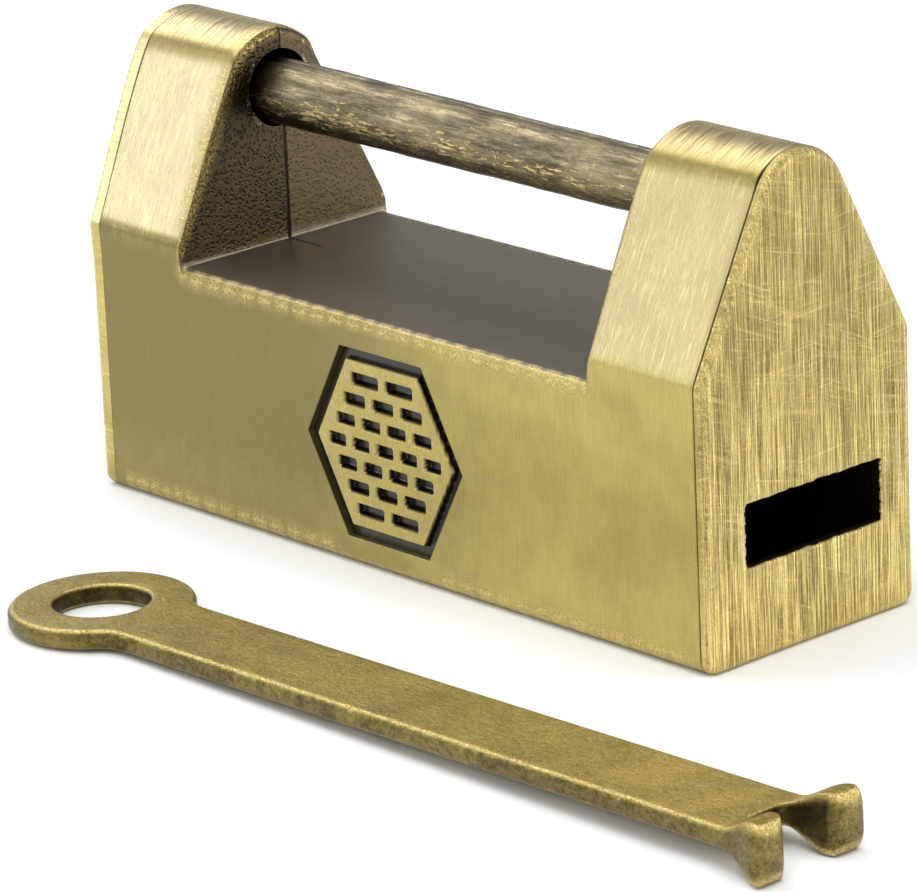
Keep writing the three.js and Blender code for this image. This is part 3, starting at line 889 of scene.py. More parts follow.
tail_x = slide_plate_low[0]
shoulder_x = slide_plate_high[0] + 0.1
bar_root_x, bar_tip_x = -16.8, 21.2
bar_root_z, tip_round, middle_radius = 23.8, 0.6, 1.85
bar_places = np.concatenate([
    [tail_x - 0.05, tail_x - 0.05, tail_x, shoulder_x - 0.02, shoulder_x, shoulder_x + 0.1],
    np.linspace(shoulder_x + 0.4, bar_tip_x - tip_round, 260),
    bar_tip_x - tip_round + tip_round * np.sin(np.radians(np.linspace(5, 90, 9))),
])
taper = np.interp(bar_places, [bar_root_x, bar_tip_x], [1.93, 1.78])
end_round = np.clip((bar_places - (bar_tip_x - tip_round)) / tip_round, 0, 1)
bar_radius = taper - tip_round * (1 - np.sqrt(np.clip(1 - end_round**2, 0, 1)))
bar_radius[:4] = [0.9, 1.05, 1.1, 1.1]
bar_radius[4] = 1.8
bar_axis = np.interp(bar_places, [bar_root_x, bar_tip_x], [bar_root_z, BAR_TIP_Z])
bar = turned("shackle_bar_worn", bar_places, bar_radius, bar_axis, around=180, wobble=0.012)
finish_piece(bar, "shackle", "dark_brass", ["shackle_bar"])
mark(bar.data, "wear", np.zeros(len(bar.data.vertices)))
bar_x, bar_y, bar_z = edge_arrays(bar.data)[0].T
mark(bar.data, "grime_and_shade", np.zeros(len(bar_x)))
# Painted shadow: the bar darkens towards its root, where it enters the bore.
mark(bar.data, "shade", 1 - smooth_step(bar_x, LEFT_FACE_X - 0.2, LEFT_FACE_X + 3.2))
below = np.interp(bar_x, [bar_root_x, bar_tip_x], [bar_root_z, BAR_TIP_Z]) - bar_z
below /= middle_radius
mark(bar.data, "rubbed", np.exp(-(((below - 0.12) / 0.42) ** 2)) * (bar_y < 0.6))


def lofted(name, loops, places):
    """(y, z) loops of equal length at places along X, joined in order."""
    return tube(name, np.array([np.insert(loop, 0, x, axis=1) for loop, x in zip(loops, places)]))


square = rounded_box(1.3, 1.5, 0.3, count=6, side=5)
around = np.arctan2(square[:, 1], square[:, 0])
round_tail = 1.1 * np.stack([np.cos(around), np.sin(around)], axis=1)
stem_loops = [round_tail * 0.8, round_tail, round_tail, square * 0.97, square, square, square * 0.86]
stem_places = [tail_x - 0.04, tail_x, shoulder_x - 0.02, shoulder_x, shoulder_x + 0.1, 13.6, 14.0]
stem = lofted("stem_bar", [loop + MECHANISM for loop in stem_loops], stem_places)
finish_piece(stem, "shackle", "dark_brass", ["stem"])

# %% [markdown]
# ## The barbs
#
# Each barb is a strip of spring brass: a thin rounded section carried along a line that lies flat
# under the rivets and then leans out. The free ends rest against the catch plate, which is a ring
# made by the same surface as the end plates.


# %% Leaf springs, rivets, catch plate and pins
def leaf(name, side):
    """A 0.4 x 2.7 mm section carried along the leaf's middle line; side is -1 for the front one."""
    start, flare, end = 13.6, 10.6, -6.3
    root = 1.3 + 0.08 + 0.2
    x = np.concatenate([np.linspace(start, flare, 8), np.linspace(flare, end, 60)[1:]])
    share = np.clip((flare - x) / (flare - end), 0, 1)
    y = root + (4.1 - root) * share**1.25
    path = np.stack([x, side * y], axis=1)
    ahead = np.gradient(path, axis=0)
    ahead /= np.linalg.norm(ahead, axis=1, keepdims=True)
    across = np.stack([-ahead[:, 1], ahead[:, 0]], axis=1)
    section = rounded_box(0.2, 1.35, 0.1, count=4, side=3)
    plan = path[:, None] + across[:, None] * section[None, :, :1]
    height = np.broadcast_to(section[:, 1], plan.shape[:2])
    points = np.concatenate([plan, height[..., None]], axis=2) + np.insert(MECHANISM, 0, 0)
    return tube(name, points)


for side, where in ((-1, "front"), (1, "back")):
    strip = leaf(f"leaf_spring_{where}_strip", side)
    finish_piece(strip, "shackle", "spring_brass", [f"leaf_spring_{where}"])


def lathe(name, profile, centre, axis, around=32):
    """A (radius, distance) profile turned about an axis through centre; axis is 0, 1 or 2."""
    turn = np.linspace(0, 2 * math.pi, around, endpoint=False)
    radius, distance = np.array(profile).T
    flat_a = radius[:, None] * np.cos(turn)
    flat_b = radius[:, None] * np.sin(turn)
    along = np.broadcast_to(distance[:, None], flat_a.shape)
    order = {0: (along, flat_a, flat_b), 1: (flat_b, along, flat_a), 2: (flat_a, flat_b, along)}
    return tube(name, np.stack(order[axis], axis=-1) + np.array(centre))


HEAD = [(0.02, -2.21), (0.35, -2.19), (0.62, -2.08), (0.8, -1.87), (0.45, -1.86)]
rivet_profile = HEAD + [(r, -d) for r, d in HEAD[::-1]]
for number, x in enumerate((13, 11.4), start=1):
    rivet = lathe(f"leaf_rivet_{number}_domed", rivet_profile, (x, *MECHANISM), axis=1)
    finish_piece(rivet, "shackle", "spring_brass", [f"leaf_rivet_{number}"])

catch_low, catch_high = low_high("catch_plate")
catch_size = (catch_high - catch_low) / 2
catch = plate("catch_plate_pressed", rounded_box(catch_size[1], catch_size[2], 0.3) + MECHANISM,
              rounded_box(2.4, 2.1, 0.3) + MECHANISM, MECHANISM,
              catch_low[0], catch_high[0], 0.08, 0.08, 0.08)
finish_piece(catch, "lock_body", "spring_brass", ["catch_plate"])


def pin(node, axis):
    """A pin with chamfered ends that fills its frame node's box."""
    low, high = low_high(node)
    centre = (low + high) / 2
    half = (high - low)[axis] / 2
    radius = (high - low)[(axis + 1) % 3] / 2
    chamfer = 0.2
    profile = [(radius - chamfer, -half), (radius, chamfer - half),
               (radius, half - chamfer), (radius - chamfer, half)]
    piece = lathe(f"{node}_turned", profile, centre, axis)
    return finish_piece(piece, "lock_body", "pin_steel", [node])


for node in sorted(frame["nodes"]):
    if node.startswith("dowel_"):
        pin(node, axis=1)
    if node.startswith("plate_pin_"):
        pin(node, axis=0)

# %% [markdown]
# ## The key
#
# The key was stamped flat and its fork was hammered out. Its plan is one outline with a hole, so
# the rim is an edge profile carried round the outline, and the two faces are a fine net of
# triangles fitted between the outlines. The half thickness is a formula of the place: level along
# the blade, and a fan at the prongs.


# %% Key shape
KEY = {"thick": 1.15, "ring": 5.25, "hole": 2.7, "blade": 6.0, "length": 51.0,
       "notch": 3.0, "prong": 3.5, "splay": 0.9, "fan": 3.3, "edge": 0.38}
KEY_CENTRE = np.array([-6.5, -23.4])


def key_outline():
    """Plan of the key, anticlockwise from the back neck: ring, near edge, fork, far edge."""
    ring, half = KEY["ring"], KEY["blade"] / 2
    neck = math.degrees(math.asin(half / ring)) + 3
    end = KEY["length"] + KEY["prong"]
    neck_x = ring * math.cos(math.radians(neck)) + 0.9
    notch = KEY["notch"] / 2
    flare = half + KEY["splay"]
    near = [
        (KEY["length"] - 1.6, -half), (KEY["length"] - 0.4, -half - 0.02),
        (KEY["length"] + 1.0, -half - 0.12), (end - 1.0, -flare + 0.18),
        (end - 0.45, -flare), (end - 0.12, -flare + 0.15), (end, -flare + 0.5),
        (end, -notch - 0.75), (end - 0.15, -notch - 0.35), (end - 0.6, -notch - 0.15),
        (end - 1.4, -notch), (KEY["length"] + 0.25, -notch), (KEY["length"], -notch + 0.2),
    ]
    edge = run((neck_x, -half), near[0], 90)
    fork = np.array(near)
    fork_fine = np.vstack([run(a, b, 6) for a, b in zip(fork[:-1], fork[1:])])
    bottom = np.vstack([edge, fork_fine])
    middle = run((KEY["length"], -notch + 0.2), (KEY["length"], notch - 0.2), 10)
    top = (bottom * [1, -1])[::-1]
    loop = arc((0, 0), ring, neck, 360 - neck, 110)
    return np.vstack([loop, bottom, middle, top])


def soften(outline, rounds):
    """Round an outline's corners a little by averaging each point with its two neighbours."""
    for _ in range(rounds):
        outline = 0.5 * outline + 0.25 * (np.roll(outline, 1, axis=0) + np.roll(outline, -1, axis=0))
    return outline


def half_thickness(x):
    """Half the key's thickness at a place along it: level, then swelling into the fans."""
    end = KEY["length"] + KEY["prong"]
    swell = smooth_step(x, KEY["length"] - 0.2, end - 0.7)
    fall = smooth_step(x, end - 0.5, end + 0.1)
    return KEY["thick"] / 2 + (KEY["fan"] - KEY["thick"]) / 2 * (swell - 0.3 * fall)


def inward(outline):
    """Unit normals that point into an anticlockwise outline."""
    ahead = np.roll(outline, -1, axis=0) - np.roll(outline, 1, axis=0)
    normal = np.stack([-ahead[:, 1], ahead[:, 0]], axis=1)
    return normal / np.linalg.norm(normal, axis=1, keepdims=True)


def key_mesh():
    """Rim rows from the lower face round to the upper one at both outlines, then the two faces."""
    outer = soften(even(key_outline(), 0.2), 4)
    hole = arc((0, 0), KEY["hole"], 360, 0, 97)[:-1]
    turn = np.radians(np.linspace(0, 90, 7))
    loops = []
    for line, edge in ((outer, KEY["edge"]), (hole, 0.22)):
        normal = inward(line)
        near_notch = smooth_step(line[:, 0], KEY["length"] - 0.6, KEY["length"] - 0.2)
        near_notch *= 1 - smooth_step(np.abs(line[:, 1]), KEY["notch"] / 2 + 0.2, KEY["notch"] / 2 + 0.7)
        edge = (edge - (edge - 0.1) * near_notch)[:, None]
        rows = []
        for q in turn:
            rows.append((line + normal * edge * (1 - math.cos(q)), 1 - 0.62 * (1 - math.sin(q))))
        loops.append(rows)
    points, faces = [], []
    base = 0
    face_loops = []
    for rows in loops:
        count = len(rows[0][0])
        stack = []
        for plan, share in rows[::-1]:
            stack.append(np.column_stack([plan, -half_thickness(plan[:, 0]) * share]))
        for plan, share in rows:
            stack.append(np.column_stack([plan, half_thickness(plan[:, 0]) * share]))
        ring_points = np.vstack(stack)
        faces += (grid_faces(len(stack), count, False, True) + base).tolist()
        face_loops.append((rows[-1][0], base, base + (len(stack) - 1) * count))
        points.append(ring_points)
        base += len(ring_points)
    outer_face, hole_face = face_loops[0][0], face_loops[1][0]
    spacing = 0.45
    gx, gy = np.meshgrid(np.arange(-5.2, 55, spacing), np.arange(-4.2, 4.21, spacing))
    net = np.column_stack([gx.ravel(), gy.ravel()])
    net = net[clear_of(net, outer_face, 0.2, True) & clear_of(net, hole_face, 0.2, False)]
    flat = np.vstack([outer_face, hole_face, net])
    n_outer, n_hole = len(outer_face), len(hole_face)
    ring_a = [(i, (i + 1) % n_outer) for i in range(n_outer)]
    ring_b = [(n_outer + i, n_outer + (i + 1) % n_hole) for i in range(n_hole)]
    result = delaunay_2d_cdt([Vector(p) for p in flat], ring_a + ring_b, [], 0, 1e-6)
    triangles = np.array(result[2])
    centres = flat[triangles].mean(1)
    keep = clear_of(centres, outer_face, 0, True) & clear_of(centres, hole_face, 0, False)
    triangles = triangles[keep]
    for sign, which in ((-1, 1), (1, 2)):
        number = np.concatenate([
            face_loops[0][which] + np.arange(n_outer),
            face_loops[1][which] + np.arange(n_hole),
            base + np.arange(len(net)),
        ])
        faces += number[triangles].tolist()
        points.append(np.column_stack([net, sign * half_thickness(net[:, 0])]))
        base += len(net)
    return np.vstack(points), faces


def clear_of(points, outline, margin, inside):
    """Which points lie inside (or outside) a closed outline and at least margin away from it. A
    point is inside when a ray along +x crosses the outline an odd number of times."""
    a, b = outline, np.roll(outline, -1, axis=0)
    px, py = points[:, :1], points[:, 1:]
    spans = (a[:, 1] > py) != (b[:, 1] > py)
    rise = np.where(b[:, 1] == a[:, 1], 1e-12, b[:, 1] - a[:, 1])
    cross_x = a[:, 0] + (py - a[:, 1]) * (b[:, 0] - a[:, 0]) / rise
    odd = ((spans & (px < cross_x)).sum(1) % 2) == 1
    near = np.min(np.hypot(px - a[:, 0], py - a[:, 1]), axis=1) if margin else np.full(len(points), 1.0)
    return (odd == inside) & (near > margin)


key_points, key_faces = key_mesh()
span = KEY["length"] + KEY["prong"]
pitch = math.asin((KEY["fan"] - KEY["thick"]) / 2 / span)
tip_up = np.array(Matrix.Rotation(-pitch, 3, "Y"))
key_points = key_points @ tip_up.T
key_points[:, 2] -= key_points[:, 2].min()
key_points[:, :2] += KEY_CENTRE
key = put_mesh("key_stamped", key_points, key_faces)
finish_piece(key, "loose_key", "key_brass", ["key"])
flat_places = edge_arrays(key.data)[0]
flat_places[:, :2] -= KEY_CENTRE
flat_places[:, 2] -= KEY["thick"] / 2 + KEY["ring"] * math.sin(pitch)
flat_places = flat_places @ tip_up
key_x, key_y, key_z = flat_places.T
height_share = np.abs(key_z) / half_thickness(key_x)
on_rim = smooth_step(height_share, 0.62, 0.9) * (1 - smooth_step(height_share, 0.98, 1.0))
side_wall = 1 - smooth_step(height_share, 0.6, 0.85)
in_hole = np.hypot(key_x, key_y) < KEY["hole"] + 0.15
in_notch = (key_x > KEY["length"] - 0.3) & (np.abs(key_y) < KEY["notch"] / 2 + 0.15)
mark(key.data, "wear", np.maximum(on_rim, 0.25 * side_wall))
mark(key.data, "grime_and_shade", np.zeros(len(key_x)))
# Painted shade: the key's side walls are darker, most in the ring's hole and the notch.
mark(key.data, "shade", side_wall * np.where(in_hole | in_notch, 0.85, 0.5))

# %% [markdown]
# ## Antique brass
#
# The lock was blackened all over and then brushed. So one recipe serves every brass part: a light
# metal and a dark oxide, mixed by several patterns. Long thin streaks follow the brush, soft
# clouds are uneven oxide, wear along the edges lets bright metal through as specks, and dirt and
# painted shade darken the corners. The same patterns also dent the surface a little and vary its gloss.


# %% Node helpers
def add(tree, kind, inputs=(), output=0, **settings):
    """Add one node; inputs maps a socket to a value or to another node's output."""
    made = tree.nodes.new("ShaderNode" + kind)
    for key, value in settings.items():
        setattr(made, key, value)
    for socket, value in dict(inputs).items():
        if isinstance(value, bpy.types.NodeSocket):
            tree.links.new(value, made.inputs[socket])
        else:
            made.inputs[socket].default_value = value
    return made.outputs[output]


def maths(tree, operation, a, b=0.0, clamp=False):
    """One Math node."""
    return add(tree, "Math", {0: a, 1: b}, operation=operation, use_clamp=clamp)


def scaled(tree, value, factor, plus):
    """value x factor + plus."""
    return add(tree, "Math", {0: value, 1: factor, 2: plus}, operation="MULTIPLY_ADD")


def rise(tree, value, low, high, start=0.0, end=1.0):
    """Map a value smoothly from low..high to start..end."""
    return add(tree, "MapRange", {"Value": value, "From Min": low, "From Max": high,
                                  "To Min": start, "To Max": end}, interpolation_type="SMOOTHSTEP")


def blend(tree, share, a, b):
    """Mix two colours."""
    return add(tree, "Mix", {0: share, 6: a, 7: b}, output=2, data_type="RGBA")


def blend_value(tree, share, a, b):
    """Mix two numbers."""
    return add(tree, "Mix", {0: share, 2: a, 3: b}, output=0, data_type="FLOAT")


def noise(tree, place, stretch=(1, 1, 1), detail=3.0, rough=0.55, seed=0.0):
    """Noise with the given number of lumps per millimetre along each axis."""
    scaled = add(tree, "VectorMath", {0: place, 1: stretch}, operation="MULTIPLY")
    moved = add(tree, "VectorMath", {0: scaled, 1: (seed, 2 * seed, -seed)}, operation="ADD")
    return add(tree, "TexNoise", {"Vector": moved, "Scale": 1.0, "Detail": detail,
                                  "Roughness": rough})


def attribute(tree, name):
    """The number stored under a name at each vertex."""
    return add(tree, "Attribute", output=2, attribute_name=name)


# %% Tones
BRIGHT = (0.84, 0.66, 0.27, 1)
EDGE_DARK = (0.33, 0.25, 0.08, 1)
# Paler tone of the slopes: polish and a painted sheen.
CHAMPAGNE_SHEEN = (0.80, 0.68, 0.49, 1)
# The darkest tone, for dirt and painted shade.
DIRT_AND_SHADE_TONE = (0.022, 0.014, 0.007, 1)
PLAIN_BAND = ((0.40, 0.33, 0.11, 1), (0.60, 0.50, 0.17, 1))
# Painted shade on the keyhole plate's upper part.
PLATE_SHADE_TONE = (0.22, 0.16, 0.05, 1)
# Painted shade along the front.
FRONT_SHADE_TONE = (0.26, 0.212, 0.075, 1)
# Painted shade in the band where the front slope meets the ridge.
CREASE_SHADE_TONE = (0.30, 0.235, 0.065, 1)
SCRUB_BROWN = (0.20, 0.13, 0.055, 1)
CAST_SKIN = ((0.036, 0.025, 0.010, 1), (0.095, 0.066, 0.028, 1))
GLOSS_BLACK = (0.018, 0.013, 0.008, 1)
GILT = ((0.09, 0.063, 0.02, 1), (0.33, 0.25, 0.078, 1))

# %% [markdown]
# ## What brushing, rubbing and the mould leave behind, and painted light and shade
#
# Each helper below adds one effect and reads its own attribute, so that it shows only where the
# piece has that attribute. The end plates have a plain rounded edge, which on the sliding plate is
# paler above the shoulder from polish and a painted sheen, and painted shade darkens the keyhole
# plate towards the top. The castings have slopes made paler by polish and a painted sheen, a band
# of painted shade where the front slope meets the ridge, brown scrub marks on the ridge and painted
# shade along the front. Scratches, flakes and worn edges also change the height that the bump uses,
# since real ones can be felt.


# %% Effects
def plate_tones(tree, tone, cloud):
    """The end plates' plain band round the edge, paler above the shoulder from polish and a painted
    sheen, and painted shade that darkens the keyhole plate towards the top.
    """
    plain = blend(tree, cloud, *PLAIN_BAND)
    # Polish and a painted sheen make the band paler above the shoulder.
    plain = blend(tree, scaled(tree, attribute(tree, "polish_and_sheen"), 0.3, 0), plain, CHAMPAGNE_SHEEN)
    tone = blend(tree, attribute(tree, "edge_band"), tone, plain)
    # Painted shade: the keyhole plate darkens towards the top.
    return blend(tree, scaled(tree, attribute(tree, "painted_shade"), 0.5, 0), tone, PLATE_SHADE_TONE)


def casting_tones(tree, place, tone, lump):
    """The castings' slopes, paler from polish and a painted sheen, the band of painted shade where the
    front slope meets the ridge, the scrubbed ridge, and painted shade along the front.
    """
    # Polish and a painted sheen make the slopes paler.
    tone = blend(tree, scaled(tree, attribute(tree, "polish_and_sheen"), 0.5, 0), tone, CHAMPAGNE_SHEEN)
    # Painted shade: a darker band where the front slope meets the ridge.
    crease_shade = maths(tree, "MULTIPLY", attribute(tree, "crease_shade"), scaled(tree, lump, 0.7, 0.45))
    tone = blend(tree, crease_shade, tone, CREASE_SHADE_TONE)
    scrub = rise(tree, noise(tree, place, (7, 0.4, 0.4), detail=5, rough=0.7, seed=23), 0.42, 0.6)
    scrub = maths(tree, "MULTIPLY", scrub, attribute(tree, "ridge"))
    tone = blend(tree, scaled(tree, scrub, 0.75, 0), tone, SCRUB_BROWN)
    # Painted shade: the front darkens towards the left end.
    front_shade_share = scaled(tree, attribute(tree, "painted_shade"), 1.0, scaled(tree, lump, 0.3, -0.15))
    return blend(tree, rise(tree, front_shade_share, 0.0, 1.0), tone, FRONT_SHADE_TONE)


def scratched(tree, place, tone, height, scratches):
    """Fine bright lines in patches. Each set is (angle from level, lines per millimetre, strength,
    seed): noise that is stretched along the turned lines and cut off at a threshold."""
    for angle, per_mm, strength, seed in scratches:
        turned_place = add(tree, "VectorRotate", {"Vector": place, "Angle": math.radians(angle)},
                           rotation_type="X_AXIS")
        lines = noise(tree, turned_place, (0.1, 0.1, per_mm), detail=4, rough=0.65, seed=seed)
        patch = noise(tree, place, (0.25, 0.25, 0.25), detail=2, seed=seed + 5)
        cut = maths(tree, "MULTIPLY", rise(tree, lines, 0.54, 0.66), rise(tree, patch, 0.42, 0.6))
        tone = blend(tree, maths(tree, "MULTIPLY", cut, strength), tone, BRIGHT)
        height = maths(tree, "ADD", height, maths(tree, "MULTIPLY", cut, 0.5))
    return tone, height


def flaked(tree, place, tone, height, lump, amount):
    """Bright flakes drawn out along the piece, more of them where it was rubbed."""
    flake = noise(tree, place, (1.1, 6, 6), detail=5, rough=0.75, seed=29)
    shown = maths(tree, "ADD", flake, scaled(tree, lump, 0.35, -0.21))
    shown = maths(tree, "ADD", shown, scaled(tree, attribute(tree, "rubbed"), 0.13, 0))
    shown = rise(tree, shown, 0.6, 0.68, 0.0, amount)
    return blend(tree, shown, tone, BRIGHT), maths(tree, "ADD", height, shown)


def worn_edges(tree, tone, height, fleck, lump, amount):
    """Edges rubbed down to specks of bright metal. The third value is the outermost rim."""
    edge = attribute(tree, "wear")
    worn = maths(tree, "ADD", edge, scaled(tree, lump, 0.6, -0.3))
    worn = rise(tree, worn, 0.3, 1.0, 0.0, amount)
    specks = rise(tree, fleck, 0.4, 0.6)
    tone = blend(tree, worn, tone, blend(tree, specks, EDGE_DARK, BRIGHT))
    rim = maths(tree, "MULTIPLY", rise(tree, edge, 0.8, 1.0, 0.0, 0.7), specks)
    chips = maths(tree, "MULTIPLY", maths(tree, "MULTIPLY", worn, specks), 0.8)
    return blend(tree, rim, tone, BRIGHT), maths(tree, "ADD", height, chips), rim


def cast_film(tree, place, fleck, lump, rim, oxide):
    """The dark film where no brush reached, and the height of its pits. It is plain on the deck,
    full of pits on the inner faces, shiny black in the panel and gilt along the slope's edge."""
    pitted = attribute(tree, "pitted")
    pit = add(tree, "TexVoronoi", {"Vector": place, "Scale": 4.2})
    film = blend(tree, scaled(tree, fleck, 0.35, scaled(tree, lump, 0.5, 0.08)), *oxide)
    skin = blend(tree, rise(tree, pit, 0.12, 0.62), *CAST_SKIN)
    film = blend(tree, rise(tree, pitted, 0.0, 0.3, 0.05, 0.88), film, skin)
    # The front halves of the inner faces, where pitted is above 0.3, are darkened further.
    film = blend(tree, rise(tree, pitted, 0.3, 1.0, 0.0, 0.5), film, DIRT_AND_SHADE_TONE)
    film = blend(tree, attribute(tree, "glossy"), film, GLOSS_BLACK)
    film = blend(tree, maths(tree, "MULTIPLY", rim, 0.8), film, BRIGHT)
    gilt = blend(tree, rise(tree, fleck, 0.42, 0.62), *GILT)
    film = blend(tree, attribute(tree, "tarred"), film, gilt)
    return film, maths(tree, "MULTIPLY", pitted, rise(tree, pit, 0.1, 0.5, -3.2, 0))


# %% [markdown]
# ## The recipe
#
# One function mixes the two tones by streaks, clouds and grain, adds the effects that a finish asks
# for, and sets colour, roughness and bump from the same patterns, so that a bright streak is also
# a smoother and a slightly higher one. Places are in millimetres, which makes every pattern keep its
# real size on every piece.


# %% Brass recipe
def brass(name, light, dark, streaks, streak_share=0.5, cloud_share=0.5, roughness=(0.3, 0.42),
          dents=0.012, wear=1.0, scratches=(), speckle=0.3, contrast=(0.32, 0.66), flecks=0.0,
          oxide=None, coat=0.0, banded=False):
    """A brass material. light and dark are its two tones. streaks gives the lumps per millimetre
    along each axis: few along the brushing, many across it, and contrast is the noise range that
    becomes a streak. The shares and speckle say how much each pattern mixes the tones. dents is
    the bump's height in millimetres, and wear and flecks are amounts. oxide is the tone pair used
    where unbrushed is high, and banded is for the end plates."""
    material = bpy.data.materials.new(name)
    material.use_nodes = True
    tree = material.node_tree
    shader = tree.nodes["Principled BSDF"]
    shader.inputs["Metallic"].default_value = 1.0
    shader.inputs["Coat Weight"].default_value = coat
    shader.inputs["Coat Roughness"].default_value = 0.2
    place = add(tree, "TexCoord", output=3)
    place = add(tree, "VectorMath", {0: place, 1: (1000, 1000, 1000)}, operation="MULTIPLY")

    streak = rise(tree, noise(tree, place, streaks, detail=6, rough=0.72), *contrast)
    cloud = rise(tree, noise(tree, place, (0.3, 0.3, 0.3), detail=4, rough=0.6, seed=3), 0.3, 0.7)
    grain = noise(tree, place, (7, 7, 7), detail=3, rough=0.6, seed=7)
    fleck = noise(tree, place, (9, 9, 9), detail=4, rough=0.75, seed=11)
    lump = noise(tree, place, (0.9, 0.9, 0.9), detail=4, rough=0.7, seed=17)

    share = scaled(tree, streak, streak_share, 0.5 - streak_share / 2)
    share_cloud = scaled(tree, cloud, cloud_share, -0.5 * cloud_share)
    share_grain = scaled(tree, grain, speckle, -0.5 * speckle)
    share = maths(tree, "ADD", maths(tree, "ADD", share, share_cloud), share_grain, clamp=True)
    tone = blend(tree, share, dark, light)
    height = maths(tree, "ADD", streak, maths(tree, "MULTIPLY", grain, 0.6))
    if banded:
        tone = plate_tones(tree, tone, cloud)
    if oxide:
        tone = casting_tones(tree, place, tone, lump)
        height = maths(tree, "MULTIPLY", height, scaled(tree, attribute(tree, "polish_and_sheen"), -0.4, 1))
    tone, height = scratched(tree, place, tone, height, scratches)
    if flecks:
        tone, height = flaked(tree, place, tone, height, lump, flecks)
    tone, height, rim = worn_edges(tree, tone, height, fleck, lump, wear)
    if banded:
        height = maths(tree, "MULTIPLY", height, scaled(tree, attribute(tree, "edge_band"), -0.9, 1))
    gloss = rise(tree, maths(tree, "ADD", streak, grain), 0.3, 1.5, roughness[1], roughness[0])

    if oxide:
        bare = scaled(tree, grain, 0.5, maths(tree, "SUBTRACT", attribute(tree, "unbrushed"), 0.25))
        bare = rise(tree, bare, 0.35, 0.65)
        film, pits = cast_film(tree, place, fleck, lump, rim, oxide)
        tone = blend(tree, bare, tone, film)
        height = maths(tree, "ADD", height, pits)
        glossy = attribute(tree, "glossy")
        film_gloss = scaled(tree, glossy, -0.2, scaled(tree, attribute(tree, "pitted"), -0.12, 0.42))
        gloss = blend_value(tree, bare, gloss, film_gloss)
        tree.links.new(scaled(tree, glossy, 0.9, coat), shader.inputs["Coat Weight"])

    # Dirt and painted shade: marked corners and hollows darken towards the darkest tone.
    dirt_and_shade_share = maths(tree, "ADD", attribute(tree, "grime_and_shade"), scaled(tree, fleck, 0.9, -0.45))
    dirt_and_shade_share = rise(tree, dirt_and_shade_share, 0.6, 0.95)
    tone = blend(tree, dirt_and_shade_share, tone, DIRT_AND_SHADE_TONE)
    gloss = blend_value(tree, dirt_and_shade_share, gloss, 0.6)
    # Painted shade: where the shade attribute is set, the tone darkens towards the darkest tone.
    shade = maths(tree, "MULTIPLY", attribute(tree, "shade"), scaled(tree, lump, 0.8, 0.6), clamp=True)
    tone = blend(tree, shade, tone, DIRT_AND_SHADE_TONE)

    tree.links.new(tone, shader.inputs["Base Color"])
    tree.links.new(gloss, shader.inputs["Roughness"])
    bump = add(tree, "Bump", {"Strength": 1.0, "Distance": dents * MM, "Height": height})
    tree.links.new(bump, shader.inputs["Normal"])
    return material


# %% The six finishes
finishes = {
    "cast_brass": brass(
        "cast_brass", light=(0.62, 0.51, 0.165, 1), dark=(0.42, 0.34, 0.11, 1),
        streaks=(9, 0.6, 0.6), streak_share=0.3, cloud_share=0.5, roughness=(0.34, 0.44),
        oxide=((0.145, 0.122, 0.09, 1), (0.285, 0.245, 0.19, 1)), coat=0.05, wear=0.55),
    "brushed_brass": brass(
        "brushed_brass", light=(1.0, 0.81, 0.30, 1), dark=(0.17, 0.115, 0.03, 1),
        streaks=(0.5, 13, 0.22), streak_share=1.0, cloud_share=0.22, roughness=(0.27, 0.42),
        dents=0.022, contrast=(0.38, 0.60), wear=0.28, speckle=0.7, banded=True,
        scratches=((14, 7, 0.55, 21), (24, 6, 0.4, 33), (-4, 7, 0.4, 41))),
    "dark_brass": brass(
        "dark_brass", light=(0.33, 0.27, 0.15, 1), dark=(0.085, 0.067, 0.042, 1),
        streaks=(0.35, 3.0, 3.0), streak_share=0.7, cloud_share=0.6, roughness=(0.22, 0.38),
        dents=0.016, flecks=0.9, speckle=0.6),
    "key_brass": brass(
        "key_brass", light=(0.55, 0.43, 0.135, 1), dark=(0.14, 0.103, 0.03, 1),
        streaks=(2.2, 3.0, 3.0), streak_share=0.5, cloud_share=0.5, roughness=(0.3, 0.45),
        dents=0.018, speckle=1.3, wear=0.55),
    "spring_brass": brass(
        "spring_brass", light=(0.80, 0.64, 0.30, 1), dark=(0.55, 0.43, 0.18, 1),
        streaks=(0.4, 8, 8), streak_share=0.5, cloud_share=0.3),
    "pin_steel": brass(
        "pin_steel", light=(0.62, 0.61, 0.58, 1), dark=(0.36, 0.35, 0.33, 1),
        streaks=(6, 6, 6), streak_share=0.4, cloud_share=0.4, wear=0.0),
}
for piece in bpy.context.scene.objects:
    slot = piece.get("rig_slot")
    if slot in finishes:
        piece.data.materials.clear()
        piece.data.materials.append(finishes[slot])
print("finishes:", ", ".join(finishes))

# %% [markdown]
# ## Camera, floor and light
#
# A long lens from the front right and a little above, turned by a couple of degrees. The floor is
# plain and pale, and the light is soft. One box on the left lights the front slopes and one the
# ridges, a wide one hangs overhead, a small one close by lifts the front, and the last one stands
# on the right and a little behind, for the keyhole plate. Brass shows what it mirrors, so each box
# also sets how bright one family of faces looks.

# %% Camera
AZIMUTH, ELEVATION, ROLL = math.radians(48.04), math.radians(18.15), math.radians(-2.55)
CAMERA_PLACE = Vector((230.736, -209.756, 107.947)) * MM
LENS = 227.07

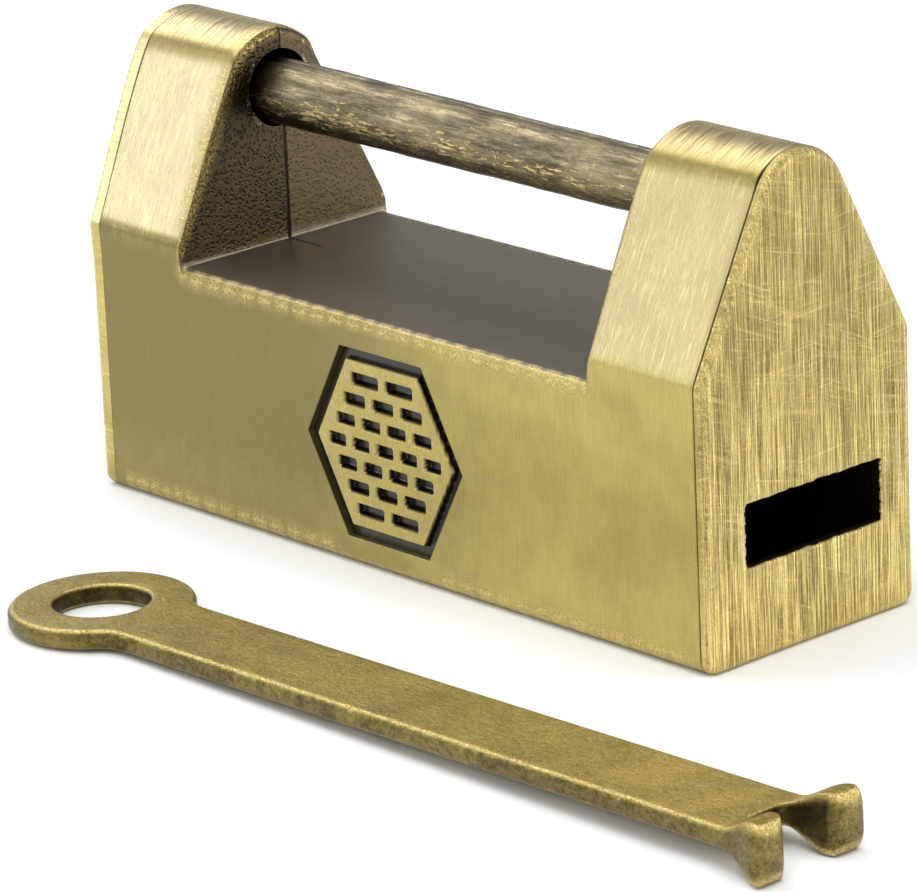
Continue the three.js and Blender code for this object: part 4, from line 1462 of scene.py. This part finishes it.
backward = Vector((math.sin(AZIMUTH) * math.cos(ELEVATION),
                   -math.cos(AZIMUTH) * math.cos(ELEVATION), math.sin(ELEVATION)))
level = Vector((0, 0, 1)).cross(backward).normalized()
upright = backward.cross(level)
right = level * math.cos(ROLL) + upright * math.sin(ROLL)
up = upright * math.cos(ROLL) - level * math.sin(ROLL)
camera_data = bpy.data.cameras.new("camera")
camera_data.lens = LENS
camera_data.sensor_width = 36
camera_data.clip_start = 0.01
camera = bpy.data.objects.new("camera", camera_data)
turned_to = Matrix((right, up, backward)).transposed().to_4x4()
camera.matrix_world = Matrix.Translation(CAMERA_PLACE) @ turned_to
bpy.context.scene.collection.objects.link(camera)
bpy.context.scene.camera = camera

# %% Floor and lights
floor_mesh = bpy.data.meshes.new("floor")
floor_mesh.from_pydata([(-3, -3, 0), (3, -3, 0), (3, 3, 0), (-3, 3, 0)], [], [(0, 1, 2, 3)])
floor = bpy.data.objects.new("floor", floor_mesh)
bpy.context.scene.collection.objects.link(floor)
floor_material = bpy.data.materials.new("pale_floor")
floor_material.use_nodes = True
floor_shader = floor_material.node_tree.nodes["Principled BSDF"]
floor_shader.inputs["Base Color"].default_value = (0.86, 0.86, 0.85, 1)
floor_shader.inputs["Roughness"].default_value = 0.9
floor_mesh.materials.append(floor_material)


def softbox(name, place, aim, size, power, colour=(1, 1, 1)):
    """A rectangular area light at a place in metres, aimed at a point."""
    data = bpy.data.lights.new(name, "AREA")
    data.shape = "RECTANGLE"
    data.size, data.size_y = size
    data.energy = power
    data.color = colour
    light = bpy.data.objects.new(name, data)
    light.location = place
    light.rotation_euler = (Vector(aim) - Vector(place)).to_track_quat("-Z", "Y").to_euler()
    bpy.context.scene.collection.objects.link(light)
    return light


softbox("slope_light", (-0.60, -0.53, 0.30), (0, 0, 0.015), (0.55, 0.4), 1.65, (0.92, 0.96, 1.0))
softbox("crown_light", (-0.55, 0.04, 0.55), (0, 0, 0.015), (0.4, 0.4), 1.6, (1.0, 0.99, 0.97))
softbox("top_light", (0.1, -0.1, 0.9), (0, 0, 0), (1.0, 1.0), 7.5)
softbox("close_light", (0.12, -0.16, 0.09), (0.01, -0.005, 0.008), (0.06, 0.06), 0.05)
softbox("plate_light", (0.50, 0.36, 0.12), (0.02, 0, 0.01), (0.35, 0.22), 1.6)
world = bpy.data.worlds.new("studio")
world.use_nodes = True
world.node_tree.nodes["Background"].inputs["Color"].default_value = (0.93, 0.96, 1.0, 1)
world.node_tree.nodes["Background"].inputs["Strength"].default_value = 0.45
bpy.context.scene.world = world
bpy.context.scene.view_settings.view_transform = "Standard"
